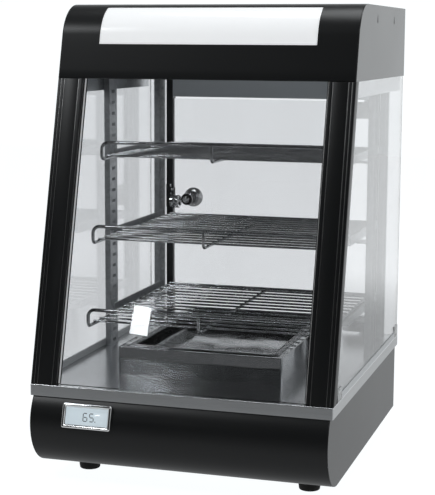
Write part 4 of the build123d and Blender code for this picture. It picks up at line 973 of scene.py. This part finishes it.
def printed(figure, x, z):
    """A flat figure on the rear: text made a mesh, raised a hair and read from behind."""
    name = f"scale_{figure}"
    curve = bpy.data.curves.new(name, "FONT")
    curve.body, curve.size, curve.extrude = figure, FIGURE_SIZE, 0.03 * MM
    curve.align_x, curve.align_y, curve.resolution_u = "CENTER", "CENTER", 3
    made = bpy.data.objects.new(name, curve)
    bpy.context.scene.collection.objects.link(made)
    bpy.context.view_layer.update()
    mesh = bpy.data.meshes.new_from_object(made)
    bpy.data.objects.remove(made)
    y = rear_y + 0.02 * MM
    mesh.transform(Matrix(((-1, 0, 0, x), (0, 0, 1, y), (0, 1, 0, z), (0, 0, 0, 1))))
    placed(name, mesh, "print_white", "cabinet")


for index, figure in enumerate(("30", "40", "50", "60", "70", "80", "90")):
    angle = radians(index * TICKS_PER_FIGURE * TICK_TURN)
    printed(figure, dial_x - FIGURE_OUT * sin(angle), dial_z + FIGURE_UP * cos(angle))

# Fittings that only need their edges rounded, by a width in mm
for node, material, width in (
    ("heat_switch_body", "black_plastic", 0.35), ("heat_switch_rocker", "rocker_red", 0.4),
    ("light_switch_body", "black_plastic", 0.35), ("light_switch_rocker", "rocker_green", 0.4),
    ("cord_gland", "black_plastic", 0.3), ("door_hinge_clamps", "chrome_trim", 0.4),
    ("rear_top_rail", "rail_satin", 0.3), ("rear_post_left", "post_steel", 0.4),
    ("rear_post_right", "post_steel", 0.4), ("lamp_holders", "white_plastic", 0.4),
    ("lamp_driver", "white_plastic", 0.5), ("terminal_block", "white_plastic", 0.3),
    ("thermostat_body", "black_plastic", 0.4), ("thermometer_body", "black_plastic", 0.4),
):
    softened(node, material, width)


def straight_sight(tree, ray):
    """1 for what is seen directly or through glass alone, 0 once a ray has been mirrored."""
    unturned = maths(tree, "LESS_THAN", ray["Glossy Depth"], 0.5)
    through = maths(tree, "MULTIPLY", ray["Is Transmission Ray"], unturned)
    return maths(tree, "MAXIMUM", ray["Is Camera Ray"], through)


# Stage: a floor that takes the shadow and is white to straight sight. Mirrored in metal and
# glass it is dim before the cabinet, brighter under and behind it, and has a pale card in front.
FLOOR_HALF = 5
floor_mesh = bpy.data.meshes.new("studio_floor")
floor_mesh.from_pydata(
    [(x * FLOOR_HALF, y * FLOOR_HALF, 0) for x, y in ((-1, -1), (1, -1), (1, 1), (-1, 1))],
    [], [(0, 1, 2, 3)],
)
floor = bpy.data.objects.new("studio_floor", floor_mesh)
bpy.context.scene.collection.objects.link(floor)
floor_finish = bpy.data.materials.new("studio_floor")
floor_mesh.materials.append(floor_finish)
floor_finish.use_nodes = True
tree = floor_finish.node_tree
tree.nodes.remove(tree.nodes["Principled BSDF"])
place = add(tree, "ShaderNodeTexCoord").outputs["Object"]
along = add(tree, "ShaderNodeSeparateXYZ", Vector=place).outputs["Y"]
near = spread(tree, along, -0.75, -0.30, 0.06, 0.50, smooth=True)
far = spread(tree, along, 0.90, 1.60, 0.0, 0.50, smooth=True)
card = maths(
    tree, "MULTIPLY", spread(tree, along, -1.50, -1.35, 0.0, 0.28, smooth=True),
    spread(tree, along, -1.04, -0.96, 1.0, 0.0, smooth=True),
)
mirrored = maths(tree, "ADD", maths(tree, "ADD", near, far), card)
ray = tree.nodes.new("ShaderNodeLightPath").outputs
seen = straight_sight(tree, ray)
level = maths(tree, "MULTIPLY", maths(tree, "MAXIMUM", seen, mirrored), 1.22)
glow = add(tree, "ShaderNodeEmission", Color=(0.96, 0.985, 1.0, 1.0), Strength=level)
matte = add(tree, "ShaderNodeBsdfDiffuse", Color=(0.80, 0.80, 0.80, 1.0))
glowing = maths(tree, "MULTIPLY", maths(tree, "MAXIMUM", seen, ray["Is Glossy Ray"]), 0.82)
either(tree, glowing, matte.outputs[0], glow.outputs[0])

# Studio: white to straight sight. What lights the cabinet and shows in its metal and glass is a
# room that is bright behind near the horizon, and dark in front and above.
world = bpy.data.worlds.new("studio")
bpy.context.scene.world = world
world.use_nodes = True
tree = world.node_tree
facing = add(tree, "ShaderNodeTexCoord").outputs["Generated"]
direction = add(tree, "ShaderNodeSeparateXYZ", Vector=facing).outputs
front = spread(tree, direction["Y"], -0.55, 0.15, 1.0, 0.0, smooth=True)
above = spread(tree, direction["Z"], 0.25, 0.65, 0.0, 0.88, smooth=True)
room = spread(tree, maths(tree, "MAXIMUM", front, above), 0.0, 1.0, 1.05, 0.035)
ray = tree.nodes.new("ShaderNodeLightPath").outputs
white = maths(tree, "MULTIPLY", straight_sight(tree, ray), 1.06)
sky = tree.nodes["Background"].inputs
sky["Color"].default_value = (0.955, 0.985, 1.0, 1.0)
tree.links.new(maths(tree, "MAXIMUM", white, room), sky["Strength"])


def softbox(name, at, aim, width, height, power):
    """An area lamp at a place, facing a point, with its long side level."""
    lamp = bpy.data.lights.new(name, "AREA")
    lamp.shape, lamp.size, lamp.size_y, lamp.energy = "RECTANGLE", width, height, power
    lamp.color = (0.95, 0.98, 1.0)
    box = bpy.data.objects.new(name, lamp)
    bpy.context.scene.collection.objects.link(box)
    facing = (Vector(aim) - Vector(at)).to_track_quat("-Z", "Y")
    box.matrix_world = Matrix.Translation(at) @ facing.to_matrix().to_4x4()
    return box


# The low box lights the front and shows in nothing. The glare box is the small bright
# reflection in the front pane, which it puts over the heater cover's left corner.
BODY = (0.0, 0.0, 0.25)
softbox("key_box", (-1.5, -1.7, 2.3), BODY, 0.7, 0.5, 18.0)
softbox("fill_box", (1.9, -0.9, 1.2), BODY, 0.8, 0.8, 8.0)
softbox("top_box", (0.1, 0.1, 2.2), (0.0, 0.0, 0.5), 1.2, 1.0, 16.0)
low_box = softbox("low_box", (-0.7, -2.1, 0.11), (0.0, 0.0, 0.30), 0.9, 0.18, 4.0)
low_box.visible_glossy = low_box.visible_transmission = False
softbox("glare_box", (-0.566, -1.557, 0.622), (-0.058, -0.206, 0.211), 0.040, 0.066, 0.14)

# Camera, fitted to the photograph's corners: its place, its right and its up
CAMERA_AT = (0.53281, -1.80741, 0.55789)
RIGHT = Vector((0.9559888, 0.2933636, 0.00481798))
UP = Vector((-0.04760468, 0.13888487, 0.98916368))
camera = bpy.data.cameras.new("photo_camera")
camera.sensor_width, camera.lens, camera.clip_start = 36.0, 101.653, 0.05
viewer = bpy.data.objects.new("photo_camera", camera)
bpy.context.scene.collection.objects.link(viewer)
turned = Matrix((RIGHT, UP, RIGHT.cross(UP))).transposed().to_4x4()
viewer.matrix_world = Matrix.Translation(CAMERA_AT) @ turned
bpy.context.scene.camera = viewer
bpy.context.scene.view_settings.view_transform = "Standard"
